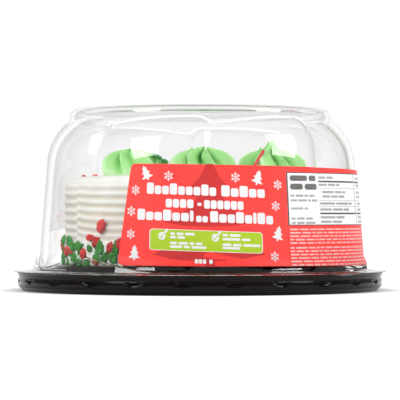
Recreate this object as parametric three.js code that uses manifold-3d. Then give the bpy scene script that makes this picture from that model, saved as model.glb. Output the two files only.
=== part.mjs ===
// A small frosted cake in its shop pack. A black formed tray carries the cake, a clear lobed dome with
// a wrap-round label covers it, and the cake has combed white icing, a foot band of holly sprinkles
// and six piped rosettes.
//
// Millimetres, +Z up. The origin is the middle of the pack's underside. An azimuth is in degrees from
// the front, -Y, and grows towards +X.

import * as THREE from 'three';
import { mergeVertices } from 'three/addons/utils/BufferGeometryUtils.js';
import Module from 'manifold-3d';

const { degToRad, euclideanModulo, lerp } = THREE.MathUtils;

// ---------------------------------------------------------------- driving dimensions

const GAP = 0.3; // clearance between pieces that touch
const LOBES = 8; // swirl lobes round the dome
const LUGS = 24; // snap dimples round the tray
const ROSETTES = 6; // piped rosettes on the cake

const TRAY = {
  sheet: 0.8,
  footInnerR: 84.3, // flat ring that the pack stands on
  footOuterR: 92.8,
  cornerR: 94.7,
  cornerZ: 1.0,
  bellyR: 97.0,
  lugZ: 4.5, // middle of the snap dimples, where the wall bellies out
  lugHalfHeight: 1.7,
  lugHalfWidth: 2.85, // degrees
  lugDepth: 1.5,
  lugAzimuth: -5, // one dimple's azimuth
  neckR: 96.5,
  neckZ: 7.2,
  lipR: 97.4,
  lipZ: 9.7,
  platformR: 77.6, // raised plate under the cake
  platformZ: 13.3,
};

const DOME = {
  sheet: 0.6,
  panelR: 60.4, // sunk top panel
  panelZ: 94.3,
  ringInnerR: 61.8, // raised stacking ring
  ringCrestInnerR: 64.2,
  ringCrestOuterR: 67.4,
  ringOuterR: 70,
  ringTopZ: 96.6,
  ringFootZ: 92.6,
  shoulderR: 30, // radius of the round between wall and top
  wallTopR: 82.8,
  wallTopZ: 68.6,
  wallFootR: 87.3,
  wallFootZ: 14,
  lobeDepth: 2.8,
  lobeCrown: 0.84, // where in its pitch a lobe stands out most
  valleyAzimuth: 5, // one valley between lobes
  skirtR: 89.2, // skirt that spreads to the flange
  skirtZ: 11.7,
  archLowZ: 12.5, // where a lobe's wall meets the skirt at its crown
  archHighZ: 19.6, // and at the valleys
  flangeBeadR: 92.3, // low bead round the skirt
  flangeBeadZ: 11.2,
  flangeRootR: 93.4,
  flangeFlatR: 98.0,
  flangeR: 100.3,
  flangeZ: 10.7,
  tabAzimuth: 48, // lift tab, a dip in the flange's edge
  tabHalfWidth: 9, // degrees
  tabDrop: 1.0,
  flangeColumns: 32,
};

const LABEL = {
  thickness: 0.4,
  leftAzimuth: -28.4, // at its lower edge
  slant: 3.4, // degrees that the left edge leans in towards the top
  slantReach: 11, // degrees in from the edge over which that dies out
  rightAzimuth: 111,
  lowerLeftZ: 14.8,
  lowerRightZ: 13.6,
  upperLeftZ: 66.2,
  upperRightZ: 63.2,
  cornerR: 4,
};

const CAKE = {
  offsetX: 1.4, // it stands a little right of the pack's middle
  radius: 74.2,
  height: 46.5,
  edgeR: 3, // round of the top edge
  plainHeight: 13, // smooth foot behind the sprinkles
  grooves: 7,
  groovePitch: 4.25,
  grooveDepth: 0.9,
  columns: 42,
};

const SPRINKLE = {
  thickness: 1.6,
  leafLength: 7,
  leafWidth: 4,
  berryLength: 5.6,
  berryWidth: 4.4,
  proud: 0.5, // how far a piece's middle stands out of the icing
  tierHeights: [4.2, 8.4, 12.2], // the foot band's tiers, over the cake's foot
  perTier: 20,
  onTop: 8, // pieces scattered on the cake's top, near its edge
  topInset: 7.5,
  strays: [ // azimuth and height over the foot of single pieces up the side
    [-45, 20],
    [72, 24],
    [163, 19],
    [-128, 23],
  ],
};

const ROSETTE = {
  ringR: 42.4,
  radius: 18.2,
  height: 14.6,
  folds: 7,
  foldDepth: 0.3, // as a share of the radius
  foldCrown: 0.62,
  twist: 24, // degrees that the folds turn from foot to top
};

// ---------------------------------------------------------------- shared helpers

const wasm = await Module();
wasm.setup();

// A geometry with shared vertices and no sliver at the axis.
function weld(geometry) {
  const bare = geometry.clone();
  bare.deleteAttribute('normal');
  bare.deleteAttribute('uv');
  const merged = mergeVertices(bare, 1e-4);
  const index = merged.index.array;
  const kept = [];
  for (let i = 0; i < index.length; i += 3) {
    const [a, b, c] = index.slice(i, i + 3);
    if (a !== b && b !== c && c !== a) kept.push(a, b, c);
  }
  merged.setIndex(kept);
  merged.computeVertexNormals();
  return merged;
}

function toSolid(geometry) {
  const welded = weld(geometry);
  return new wasm.Manifold(
    new wasm.Mesh({
      numProp: 3,
      vertProperties: new Float32Array(welded.attributes.position.array),
      triVerts: new Uint32Array(welded.index.array),
    }),
  );
}

function fromSolid(solid) {
  const { vertProperties, triVerts } = solid.getMesh();
  const geometry = new THREE.BufferGeometry();
  geometry.setAttribute('position', new THREE.BufferAttribute(new Float32Array(vertProperties), 3));
  geometry.setIndex(new THREE.BufferAttribute(new Uint32Array(triVerts), 1));
  geometry.computeVertexNormals();
  return geometry;
}

// Joins the loose pieces onto a body, as one solid.
function fuse(body, pieces) {
  return fromSolid(pieces.reduce((solid, piece) => solid.add(toSolid(piece)), toSolid(body)));
}

// A closed turned surface whose section may change round the axis. Each row is a function that gives
// [radius, height, extra turn] at an azimuth, and the rows run up the outside and back down the inside.
function turned(rows, azimuths) {
  const profile = rows.map((row) => new THREE.Vector2(...row(0)));
  const geometry = new THREE.LatheGeometry(profile, azimuths.length);
  for (let column = 0; column <= azimuths.length; column++) {
    const azimuth = azimuths[column % azimuths.length];
    rows.forEach((row, j) => {
      const [radius, height, turn = 0] = row(azimuth);
      const angle = degToRad(azimuth + turn);
      const vertex = column * rows.length + j;
      geometry.attributes.position.setXYZ(vertex, radius * Math.sin(angle), -radius * Math.cos(angle), height);
    });
  }
  return weld(geometry);
}

const ring = (radius, height) => () => [radius, height];

// Azimuths that repeat the same places in each pitch of a pattern.
function repeated(count, places, start) {
  const pitch = 360 / count;
  return Array.from({ length: count }, (_, i) => places.map((place) => start + (i + place) * pitch)).flat();
}

// How much a swirl lobe is drawn in at an azimuth: 0 at its crown, 1 at the valley beside it. The crown
// lies off the lobe's middle, so one flank is steep and the other is easy.
function drawnIn(azimuth, start, count, crown) {
  const pitch = 360 / count;
  const place = euclideanModulo(azimuth - start, pitch) / pitch;
  const away = place < crown ? (crown - place) / crown : (place - crown) / (1 - crown);
  return away * away;
}

// A fixed stream of random numbers from 0 to 1.
function randomStream(seed) {
  let state = seed;
  return () => {
    state = (Math.imul(state, 1664525) + 1013904223) >>> 0;
    return state / 4294967296;
  };
}

function material(color, roughness, extra = {}) {
  return new THREE.MeshStandardMaterial({ color, roughness, metalness: 0, ...extra });
}

function piece(name, geometry, finish) {
  const mesh = new THREE.Mesh(geometry, finish);
  mesh.name = name;
  return mesh;
}

// ---------------------------------------------------------------- tray

// The wall's snap dimples: a push inwards at each dimple's middle, none at its rim.
function lugPush(azimuth) {
  const pitch = 360 / LUGS;
  const off = euclideanModulo(azimuth - TRAY.lugAzimuth + pitch / 2, pitch) - pitch / 2;
  return TRAY.lugDepth * Math.max(0, 1 - Math.abs(off) / TRAY.lugHalfWidth);
}

function trayGeometry() {
  const t = TRAY.sheet;
  const dimple = (radius) => (azimuth) => [radius - lugPush(azimuth), TRAY.lugZ];
  const lugTopZ = TRAY.lugZ + TRAY.lugHalfHeight;
  const lugLowZ = TRAY.lugZ - TRAY.lugHalfHeight;
  const lugTopR = lerp(TRAY.bellyR, TRAY.neckR, 0.5);
  const lugLowR = lerp(TRAY.bellyR, TRAY.cornerR, 0.3);
  const rimHalf = TRAY.lugHalfWidth / (360 / LUGS);
  const rows = [
    ring(0, TRAY.platformZ - t),
    ring(TRAY.platformR - t, TRAY.platformZ - t),
    ring(TRAY.footInnerR, 0),
    ring(TRAY.footOuterR, 0),
    ring(TRAY.cornerR, TRAY.cornerZ),
    ring(lugLowR, lugLowZ),
    dimple(TRAY.bellyR),
    ring(lugTopR, lugTopZ),
    ring(TRAY.neckR, TRAY.neckZ),
    ring(TRAY.lipR, TRAY.lipZ),
    ring(TRAY.lipR - t, TRAY.lipZ),
    ring(TRAY.neckR - t, TRAY.neckZ),
    dimple(TRAY.bellyR - t),
    ring(TRAY.cornerR - t, TRAY.cornerZ + t / 2),
    ring(TRAY.footOuterR - t / 2, t),
    ring(TRAY.footInnerR + t, t),
    ring(TRAY.platformR, TRAY.platformZ),
    ring(0, TRAY.platformZ),
  ];
  return turned(rows, repeated(LUGS, [0, rimHalf, 0.5, 1 - rimHalf], TRAY.lugAzimuth));
}

// ---------------------------------------------------------------- dome

const draft = Math.atan2(DOME.wallFootR - DOME.wallTopR, DOME.wallTopZ - DOME.wallFootZ);
const shoulderR0 = DOME.wallTopR - DOME.shoulderR * Math.cos(draft);
const shoulderZ0 = DOME.wallTopZ - DOME.shoulderR * Math.sin(draft);

const lobeInset = (azimuth) =>
  DOME.lobeDepth * drawnIn(azimuth, DOME.valleyAzimuth, LOBES, DOME.lobeCrown);

const wallRadius = (azimuth, z) =>
  DOME.wallFootR - (z - DOME.wallFootZ) * Math.tan(draft) - lobeInset(azimuth);

// Height at which a lobe's wall comes down onto the skirt, in an arch that is highest at the valleys.
const archZ = (azimuth) =>
  lerp(DOME.archLowZ, DOME.archHighZ, drawnIn(azimuth, DOME.valleyAzimuth, LOBES, DOME.lobeCrown));

// Outside of the dome below its shoulder: a lobe's wall, and the skirt under its arch.
function domeRadius(azimuth, z) {
  const arch = archZ(azimuth);
  if (z >= arch) return wallRadius(azimuth, z);
  return lerp(DOME.skirtR, wallRadius(azimuth, arch), (z - DOME.skirtZ) / (arch - DOME.skirtZ));
}

// A point of the shoulder, from 0 at the wall to 1 where it runs into the ring's side. The lobes meet
// the ring in arches, because the ring's side goes further down at the valleys.
const shoulder = (step, skin) => (azimuth) => {
  const reach = DOME.shoulderR - lobeInset(azimuth) - skin;
  const end = Math.acos((DOME.ringOuterR - skin - shoulderR0) / reach);
  const angle = lerp(draft, end, step);
  return [shoulderR0 + reach * Math.cos(angle), shoulderZ0 + reach * Math.sin(angle)];
};

const skirtArch = (skin) => (azimuth) => [wallRadius(azimuth, archZ(azimuth)) - skin, archZ(azimuth)];

const flangeEdge = (radius, height) => (azimuth) => {
  const off = Math.abs(azimuth - DOME.tabAzimuth) / DOME.tabHalfWidth;
  const dip = off < 1 ? DOME.tabDrop * Math.cos((off * Math.PI) / 2) ** 2 : 0;
  return [radius, height - dip];
};

function domeGeometry() {
  const t = DOME.sheet;
  const steps = [0, 1 / 3, 2 / 3, 1];
  const outside = [
    ring(DOME.skirtR - t, DOME.flangeZ + GAP),
    ring(DOME.skirtR, DOME.flangeZ + GAP),
    ring(DOME.skirtR, DOME.skirtZ),
    skirtArch(0),
    ...steps.map((step) => shoulder(step, 0)),
    ring(DOME.ringOuterR, DOME.ringFootZ),
    ring(DOME.ringOuterR - 0.6, DOME.ringTopZ - 2),
    ring(DOME.ringCrestOuterR, DOME.ringTopZ - 0.4),
    ring(DOME.ringCrestInnerR, DOME.ringTopZ),
    ring(DOME.ringInnerR, DOME.ringTopZ - 1),
    ring(DOME.panelR, DOME.panelZ),
    ring(0, DOME.panelZ),
  ];
  const inside = [
    ring(0, DOME.panelZ - t),
    ring(DOME.panelR + t, DOME.panelZ - t),
    ring(DOME.ringInnerR + t, DOME.ringTopZ - 1 - t),
    ring(DOME.ringCrestOuterR - t, DOME.ringTopZ - 0.4 - t),
    ring(DOME.ringOuterR - t, DOME.ringFootZ),
    ...steps.toReversed().map((step) => shoulder(step, t)),
    skirtArch(t),
    ring(DOME.skirtR - t, DOME.skirtZ),
    ring(DOME.skirtR - t, DOME.flangeZ + GAP),
  ];
  return turned([...outside, ...inside], domeAzimuths());
}

// The flat rim that the dome stands on, with its low bead and the lift tab. It is a solid of its own
// under the skirt, so that it stays a flat ring to whatever touches it.
function flangeGeometry() {
  const t = DOME.sheet;
  const rows = [
    ring(DOME.skirtR - t, DOME.flangeZ - t),
    ring(DOME.flangeFlatR, DOME.flangeZ - t),
    flangeEdge(DOME.flangeR, DOME.flangeZ - t),
    flangeEdge(DOME.flangeR, DOME.flangeZ),
    ring(DOME.flangeFlatR, DOME.flangeZ),
    ring(DOME.flangeRootR, DOME.flangeZ),
    ring(DOME.flangeBeadR, DOME.flangeBeadZ),
    ring(DOME.skirtR + GAP, DOME.flangeZ),
    ring(DOME.skirtR - t, DOME.flangeZ),
    ring(DOME.skirtR - t, DOME.flangeZ - t),
  ];
  return turned(rows, flangeAzimuths());
}

// Even steps, and closer ones across the tab.
function flangeAzimuths() {
  const even = repeated(DOME.flangeColumns, [0], 0).filter(
    (azimuth) => Math.abs(azimuth - DOME.tabAzimuth) > DOME.tabHalfWidth,
  );
  const across = [-1, -0.5, 0, 0.5, 1].map((share) => DOME.tabAzimuth + share * DOME.tabHalfWidth);
  return [...even, ...across].sort((a, b) => a - b);
}

function domeAzimuths() {
  const easy = [0, 0.17, 0.34, 0.52, 0.68];
  const steep = [DOME.lobeCrown, 0.91, 0.96];
  return repeated(LOBES, [...easy, ...steep], DOME.valleyAzimuth);
}

// ---------------------------------------------------------------- label

// A thin sheet that follows the dome. Its outline is a slanted strip with rounded corners.
function labelGeometry() {
  const arc = (azimuth) => degToRad(azimuth) * DOME.wallFootR;
  const cornerAngle = (LABEL.cornerR / DOME.wallFootR) * (180 / Math.PI);
  const inner = domeAzimuths()
    .flatMap((azimuth) => [azimuth, azimuth - 360])
    .filter((azimuth) => azimuth > LABEL.leftAzimuth + 5 && azimuth < LABEL.rightAzimuth - 3);
  const corner = [0, 0.12, 0.45, 1];
  const left = corner.map((share) => LABEL.leftAzimuth + share * cornerAngle);
  const right = corner.map((share) => LABEL.rightAzimuth - share * cornerAngle);
  const columns = [...left, ...inner, ...right].sort((a, b) => a - b);
  const heights = [0, 0.07, 0.14, 1];
  const box = new THREE.BoxGeometry(1, 1, 1, columns.length - 1, heights.length - 1, 1);
  const position = box.attributes.position;
  for (let i = 0; i < position.count; i++) {
    const column = columns[Math.round((position.getX(i) + 0.5) * (columns.length - 1))];
    const share = heights[Math.round((position.getY(i) + 0.5) * (heights.length - 1))];
    const edge = Math.min(arc(column - LABEL.leftAzimuth), arc(LABEL.rightAzimuth - column), LABEL.cornerR);
    const cut = LABEL.cornerR - Math.sqrt(LABEL.cornerR ** 2 - (LABEL.cornerR - edge) ** 2);
    const along = (column - LABEL.leftAzimuth) / (LABEL.rightAzimuth - LABEL.leftAzimuth);
    const low = lerp(LABEL.lowerLeftZ, LABEL.lowerRightZ, along) + cut;
    const high = lerp(LABEL.upperLeftZ, LABEL.upperRightZ, along) - cut;
    const z = lerp(low, high, share);
    const inFromEdge = (column - LABEL.leftAzimuth) / LABEL.slantReach;
    const azimuth = column + LABEL.slant * share * Math.max(0, 1 - inFromEdge);
    const radius = domeRadius(azimuth, z) + GAP + (position.getZ(i) > 0 ? LABEL.thickness : 0);
    position.setXYZ(i, radius * Math.sin(degToRad(azimuth)), -radius * Math.cos(degToRad(azimuth)), z);
  }
  return weld(box);
}

// ---------------------------------------------------------------- sprinkles

// Flat outlines with the length along +Y: a pointed leaf, and a berry cluster with an uneven edge.
function leafOutline(length, width) {
  const half = [0, 0.72, 1, 0.62, 0].map((share, i) => [(share * width) / 2, length * (0.5 - i / 4)]);
  const other = half.slice(1, -1).reverse();
  return new THREE.Shape([...half, ...other.map(([x, y]) => [-x, y])].map(([x, y]) => new THREE.Vector2(x, y)));
}

function berryOutline(length, width) {
  const corners = [1, 0.9, 1, 0.88, 1, 0.92, 0.98];
  return new THREE.Shape(
    corners.map((share, i) => {
      const angle = (i / corners.length) * 2 * Math.PI;
      return new THREE.Vector2((share * width * Math.sin(angle)) / -2, (share * length * Math.cos(angle)) / 2);
    }),
  );
}

function flatSprinkle(leaf, scale) {
  const outline = leaf
    ? leafOutline(SPRINKLE.leafLength * scale, SPRINKLE.leafWidth * scale)
    : berryOutline(SPRINKLE.berryLength * scale, SPRINKLE.berryWidth * scale);
  const depth = SPRINKLE.thickness;
  return new THREE.ExtrudeGeometry(outline, { depth, bevelEnabled: false }).translate(0, 0, -depth / 2);
}

// Lays a flat piece on the cake's side: turned in its own plane by spin, and leaning by tilt.
function onSide(geometry, azimuth, z, spin, tilt) {
  const angle = degToRad(azimuth);
  const outward = new THREE.Vector3(Math.sin(angle), -Math.cos(angle), 0);
  const sideways = new THREE.Vector3(Math.cos(angle), Math.sin(angle), 0);
  const up = new THREE.Vector3(0, 0, 1);
  const place = outward.clone().multiplyScalar(CAKE.radius + SPRINKLE.proud);
  const matrix = new THREE.Matrix4().makeBasis(sideways, up, outward).setPosition(place.x, place.y, z);
  matrix.multiply(new THREE.Matrix4().makeRotationX(degToRad(tilt)));
  matrix.multiply(new THREE.Matrix4().makeRotationZ(degToRad(spin)));
  return geometry.applyMatrix4(matrix);
}

// The band at the cake's foot: tiers of pieces, evenly spread and a little jittered.
function footBand() {
  const random = randomStream(7);
  const spread = (amount) => (random() - 0.5) * 2 * amount;
  const pitch = 360 / SPRINKLE.perTier;
  return SPRINKLE.tierHeights.flatMap((height, tier) =>
    Array.from({ length: SPRINKLE.perTier }, (_, i) => {
      const azimuth = (i + tier / 2) * pitch + spread(0.16 * pitch);
      const z = cakeFootZ + height + spread(0.7);
      const isLeaf = (i + tier) % 5 < 3;
      const sprinkle = flatSprinkle(isLeaf, 1 + spread(0.12));
      return onSide(sprinkle, azimuth, z, spread(75), spread(14));
    }),
  );
}

// Single pieces that strayed up the side, and a sparse scatter on the top near the edge.
function strayPieces() {
  const wall = SPRINKLE.strays.map(([azimuth, height], i) =>
    onSide(flatSprinkle(false, 1.1), azimuth, cakeFootZ + height, 20 * i, 4),
  );
  const random = randomStream(11);
  const top = Array.from({ length: SPRINKLE.onTop }, (_, i) => {
    const angle = degToRad(((i + 0.25 + 0.3 * random()) * 360) / SPRINKLE.onTop);
    const radius = CAKE.radius - SPRINKLE.topInset + 2 * (random() - 0.5);
    const sprinkle = flatSprinkle(i % 3 === 0, 0.8).rotateZ(random() * Math.PI);
    return sprinkle.translate(radius * Math.sin(angle), -radius * Math.cos(angle), cakeTopZ + SPRINKLE.proud);
  });
  return [...wall, ...top];
}

// ---------------------------------------------------------------- cake

const cakeFootZ = TRAY.platformZ + GAP;
const cakeTopZ = cakeFootZ + CAKE.height;

function cakeGeometry() {
  const r = CAKE.radius;
  const combed = Array.from({ length: CAKE.grooves }, (_, i) => {
    const z = cakeFootZ + CAKE.plainHeight + (i + 0.5) * CAKE.groovePitch;
    return [ring(r, z - CAKE.groovePitch / 2), ring(r - CAKE.grooveDepth, z)];
  });
  const rows = [
    ring(0, cakeFootZ),
    ring(r, cakeFootZ),
    ...combed.flat(),
    ring(r, cakeTopZ - CAKE.edgeR),
    ring(r - 0.3 * CAKE.edgeR, cakeTopZ - 0.3 * CAKE.edgeR),
    ring(r - CAKE.edgeR, cakeTopZ),
    ring(0, cakeTopZ),
  ];
  const body = turned(rows, repeated(CAKE.columns, [0], 0));
  return fuse(body, [...footBand(), ...strayPieces()]);
}

// ---------------------------------------------------------------- rosettes

// One piped swirl: a bun of deep folds that turn as they rise to a leaning tip.
function rosetteBody({ size, tip, lean }) {
  const radius = ROSETTE.radius * size;
  const height = ROSETTE.height;
  const fold = (level, share, depth) => (azimuth) => {
    const inset = depth * ROSETTE.foldDepth * drawnIn(azimuth, 0, ROSETTE.folds, ROSETTE.foldCrown);
    return [radius * share * (1 - inset), level * height, level * ROSETTE.twist];
  };
  const rows = [
    ring(0, 0),
    fold(0, 0.87, 0.5),
    fold(0.3, 1, 0.9),
    fold(0.6, 0.93, 1.2),
    fold(0.84, 0.62, 1.6),
    fold(0.97, 0.26, 1.6),
    ring(0, height + tip),
  ];
  const geometry = turned(rows, repeated(ROSETTE.folds, [0, 0.3, ROSETTE.foldCrown, 0.84], 0));
  const position = geometry.attributes.position;
  for (let i = 0; i < position.count; i++) {
    const level = position.getZ(i) / height;
    position.setX(i, position.getX(i) + lean * level ** 4);
  }
  return geometry;
}

// A thin rod stuck into the icing, from one point to another.
function rod(from, to, radius) {
  const axis = new THREE.Vector3().subVectors(to, from);
  const geometry = new THREE.CylinderGeometry(radius, radius, axis.length(), 8);
  const turn = new THREE.Quaternion().setFromUnitVectors(new THREE.Vector3(0, 1, 0), axis.clone().normalize());
  return geometry.applyQuaternion(turn).translate(...from.clone().add(to).multiplyScalar(0.5));
}

function leafOnRosette(x, y, z, tilt) {
  return flatSprinkle(true, 0.8).rotateX(degToRad(tilt)).translate(x, y, z);
}

// The six rosettes, from the front one round towards +X. Size is a share of the usual radius, tip is
// the peak's height over the swirl, lean is how far it is pulled sideways, and turn is its first fold.
const rosettePlan = [
  { name: 'rosette_front', size: 0.97, tip: 1.2, lean: -0.6, turn: 8, toppings: () => [] },
  {
    name: 'rosette_front_right',
    size: 1.01,
    tip: 3.9,
    lean: 1.2,
    turn: 40,
    toppings: () => [rod(new THREE.Vector3(-12.4, -9.6, 4.6), new THREE.Vector3(-8.2, -4.2, 12.8), 1)],
  },
  { name: 'rosette_back_right', size: 1, tip: 1, lean: 0.5, turn: 17, toppings: () => [] },
  { name: 'rosette_back', size: 0.98, tip: 1.6, lean: 0.4, turn: 29, toppings: () => [] },
  { name: 'rosette_back_left', size: 1, tip: 1.2, lean: -0.8, turn: 3, toppings: () => [] },
  {
    name: 'rosette_front_left',
    size: 0.94,
    tip: 1.4,
    lean: -1,
    turn: 22,
    toppings: () => [leafOnRosette(8, -3.4, 11.6, 40), leafOnRosette(12.4, -5.4, 7.6, 60)],
  },
];

function rosettes() {
  return rosettePlan.map((plan, i) => {
    const body = rosetteBody(plan).rotateZ(degToRad(plan.turn));
    const extras = plan.toppings();
    const mesh = piece(plan.name, extras.length ? fuse(body, extras) : body, material(0x9be58a, 0.55));
    const angle = degToRad((i * 360) / ROSETTES);
    const zFoot = cakeTopZ + GAP;
    mesh.position.set(ROSETTE.ringR * Math.sin(angle), -ROSETTE.ringR * Math.cos(angle), zFoot);
    return mesh;
  });
}

// ---------------------------------------------------------------- the whole pack

const contents = new THREE.Group();
contents.position.x = CAKE.offsetX;
contents.add(piece('cake', cakeGeometry(), material(0xf0eee4, 0.65)), ...rosettes());

const clear = { transparent: true, opacity: 0.25 };
const pack = new THREE.Group();
pack.add(
  piece('tray', trayGeometry(), material(0x141211, 0.18)),
  contents,
  piece('dome', domeGeometry(), material(0xf4f7f8, 0.05, clear)),
  piece('dome_flange', flangeGeometry(), material(0xf4f7f8, 0.05, clear)),
  piece('label', labelGeometry(), material(0xff4a44, 0.45)),
);

export default pack;
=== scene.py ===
import math
import random

import bpy
from mathutils import Matrix, Vector


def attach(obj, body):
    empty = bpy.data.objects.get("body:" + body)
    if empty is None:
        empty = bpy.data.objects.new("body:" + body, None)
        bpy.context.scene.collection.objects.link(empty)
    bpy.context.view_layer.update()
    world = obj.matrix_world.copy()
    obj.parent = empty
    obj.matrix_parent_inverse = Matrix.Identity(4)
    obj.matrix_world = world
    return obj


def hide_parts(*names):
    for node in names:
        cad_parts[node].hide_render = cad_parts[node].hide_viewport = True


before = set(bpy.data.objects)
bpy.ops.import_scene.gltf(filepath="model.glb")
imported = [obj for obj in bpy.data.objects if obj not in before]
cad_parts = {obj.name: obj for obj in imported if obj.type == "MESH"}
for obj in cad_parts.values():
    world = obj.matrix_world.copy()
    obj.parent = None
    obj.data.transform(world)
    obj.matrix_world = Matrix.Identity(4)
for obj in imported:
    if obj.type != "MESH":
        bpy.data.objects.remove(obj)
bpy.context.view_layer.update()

MM = 0.001
ROOT = "root"

# ---------------- sizes

SKIN = 0.6 * MM  # the dome's sheet
SKIRT_R = 89.6 * MM
SKIRT_Z = 11.7 * MM
WALL_FOOT_R = 87.3 * MM
WALL_FOOT_Z = 14 * MM
WALL_TOP_R = 82.8 * MM
WALL_TOP_Z = 68.6 * MM
SHOULDER_R = 30 * MM
RING_R = 70 * MM
RING_FOOT_Z = 92.6 * MM
FLANGE_R = 100.3 * MM
FLANGE_Z = 10.7 * MM
TAB_AZIMUTH = 48
TAB_HALF_WIDTH = 9
TAB_DROP = 1.0 * MM
TAB_INNER_R = 96.5 * MM

LOBES = 8
LOBE_PITCH = 360 / LOBES
LOBE_DEPTH = 2.8 * MM
LOBE_CROWN = 0.84  # where in its pitch a lobe stands out most
VALLEY_AZIMUTH = 5
LOBE_SOFT = 0.3 * MM  # how softly a lobe's easy side meets its steep side
SEAM_LEAN = 3.0  # degrees
SEAM_ENDS = (58 * MM, 90 * MM)  # heights between which the seams lean
ARCH_FOOT = 0.1 * MM
ARCH_RISE = 6.2 * MM  # how high the skirt reaches up at a valley
SKIRT_SLOPE = 0.33
ARCH_REACH = 0.5  # share of a lobe's pitch over which the arch comes down

TRAY_SHEET = 0.8 * MM
LUGS = 24
LUG_AZIMUTH = -5
LUG_TOP_Z = 6.3 * MM
LUG_DEPTH = 1.9 * MM
LUG_HALF_WIDTH = 2.85  # degrees
LUG_TALL = 2.9 * MM

LABEL_GAP = 0.3 * MM
LABEL_THICKNESS = 0.4 * MM
LABEL_FACE = LABEL_GAP + LABEL_THICKNESS
LABEL_LEFT = -28.4  # azimuth of the left edge at the foot
LABEL_RIGHT = 111
LABEL_SLANT = 3.4  # degrees that the left edge leans in towards the top
LABEL_SLANT_REACH = 11
LABEL_CORNER = 4 * MM

CAKE_X = 1.4 * MM
CAKE_R = 74.2 * MM
CAKE_TOP_Z = 60.1 * MM

ROSETTE_RING_R = 42.4 * MM
ROSETTE_R = 18.2 * MM
ROSETTE_HEIGHT = 14.6 * MM
ROSETTE_FOOT_Z = 60.4 * MM


# ---------------- bench tools


def lerp(a, b, share):
    return a + (b - a) * share


def smooth(low, high, value):
    share = min(max((value - low) / (high - low), 0), 1)
    return share * share * (3 - 2 * share)


def around(radius, azimuth, height, centre_x=0.0):
    """The point at a radius, azimuth and height."""
    angle = math.radians(azimuth)
    return Vector((centre_x + radius * math.sin(angle), -radius * math.cos(angle), height))


def azimuth_of(point):
    return math.degrees(math.atan2(point.x, -point.y))


def reach_of(point):
    return math.hypot(point.x, point.y)


def deselect_all():
    bpy.ops.object.select_all(action="DESELECT")


def pick(piece):
    deselect_all()
    piece.select_set(True)
    bpy.context.view_layer.objects.active = piece


def open_for_edit(piece, select=None):
    """Opens a piece for editing. select is SELECT or DESELECT, for all of it or none."""
    pick(piece)
    bpy.ops.object.mode_set(mode="EDIT")
    if select:
        bpy.ops.mesh.select_all(action=select)


def close_edit():
    bpy.ops.object.mode_set(mode="OBJECT")


def newly_made(name):
    piece = bpy.context.active_object
    piece.name = name
    piece.data.name = name
    return piece


def settle(piece):
    """Puts the piece's place and turn into its mesh."""
    pick(piece)
    bpy.ops.object.transform_apply(location=True, rotation=True, scale=True)
    return piece


def apply_modifiers(piece):
    pick(piece)
    for modifier in list(piece.modifiers):
        bpy.ops.object.modifier_apply(modifier=modifier.name)
    return piece


def faces_outwards(piece):
    open_for_edit(piece, "SELECT")
    bpy.ops.mesh.remove_doubles(threshold=1e-6)
    bpy.ops.mesh.normals_make_consistent(inside=False)
    close_edit()
    return piece


def face_off_axis(piece):
    """Turns every face away from the pack's axis."""
    open_for_edit(piece, "DESELECT")
    close_edit()
    for face in piece.data.polygons:
        flat = Vector((face.center.x, face.center.y, 0))
        face.select = face.normal.dot(flat) < 0
    open_for_edit(piece)
    bpy.ops.mesh.flip_normals()
    close_edit()


def give_thickness(piece, thickness, offset):
    solid = piece.modifiers.new("sheet", "SOLIDIFY")
    solid.thickness = thickness
    solid.offset = offset
    solid.use_even_offset = True
    return apply_modifiers(piece)


def smooth_faces(piece, angle=50):
    pick(piece)
    bpy.ops.object.shade_smooth_by_angle(angle=math.radians(angle))
    return piece


def join_all(name, pieces):
    deselect_all()
    for piece in pieces:
        piece.select_set(True)
    bpy.context.view_layer.objects.active = pieces[0]
    bpy.ops.object.join()
    return newly_made(name)


def shape_by(piece, move):
    """Moves each point of a piece's mesh to where move puts it."""
    for vertex in piece.data.vertices:
        vertex.co = move(vertex.co.copy())
    piece.data.update()
    return piece


def keep_on_points(piece, name, measure):
    """Keeps a number for each point of a piece on its mesh, for its material to read."""
    values = piece.data.attributes.new(name, "FLOAT", "POINT").data
    for vertex in piece.data.vertices:
        values[vertex.index].value = measure(vertex.co)


def select_points(piece, wanted):
    """Selects the points that wanted says yes to, and the edges and faces between them."""
    mesh = piece.data
    for vertex in mesh.vertices:
        vertex.select = wanted(vertex.co)
    for part in (*mesh.edges, *mesh.polygons):
        part.select = all(mesh.vertices[i].select for i in part.vertices)


FAN_REACH = 0.97  # share of the radius that is inset before the rest is merged


def close_foot(piece, radius, height):
    """Closes a ring with a fan of faces, and leaves the ring's own edges selected."""
    bpy.ops.mesh.edge_face_add()
    bpy.ops.mesh.inset(thickness=radius * FAN_REACH)
    bpy.ops.mesh.merge(type="CENTER")
    close_edit()

    def on_ring(place):
        return abs(reach_of(place) - radius) < 1e-6 and abs(place.z - height) < 1e-6

    select_points(piece, on_ring)
    open_for_edit(piece)


def drawn_up(name, columns, profile, close=""):
    """A turned form, drawn up ring by ring from a circle. profile is [(radius, height), ...]."""
    radius, height = profile[0]
    deselect_all()
    bpy.ops.mesh.primitive_circle_add(vertices=columns, radius=radius, location=(0, 0, height))
    piece = settle(newly_made(name))
    open_for_edit(piece, "SELECT")
    if "foot" in close:
        close_foot(piece, radius, height)
    for next_radius, next_height in profile[1:]:
        bpy.ops.mesh.extrude_edges_move(
            TRANSFORM_OT_translate={"value": (0, 0, next_height - height)}
        )
        share = next_radius / radius
        bpy.ops.transform.resize(value=(share, share, 1), center_override=(0, 0, next_height))
        radius, height = next_radius, next_height
    if "top" in close:
        bpy.ops.mesh.edge_face_add()
        bpy.ops.mesh.poke()
    close_edit()
    return piece


def turn_about(axis, degrees):
    return Matrix.Rotation(math.radians(degrees), 4, axis)


def put_in_scene(name, data):
    made = bpy.data.objects.new(name, data)
    bpy.context.scene.collection.objects.link(made)
    return made


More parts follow.
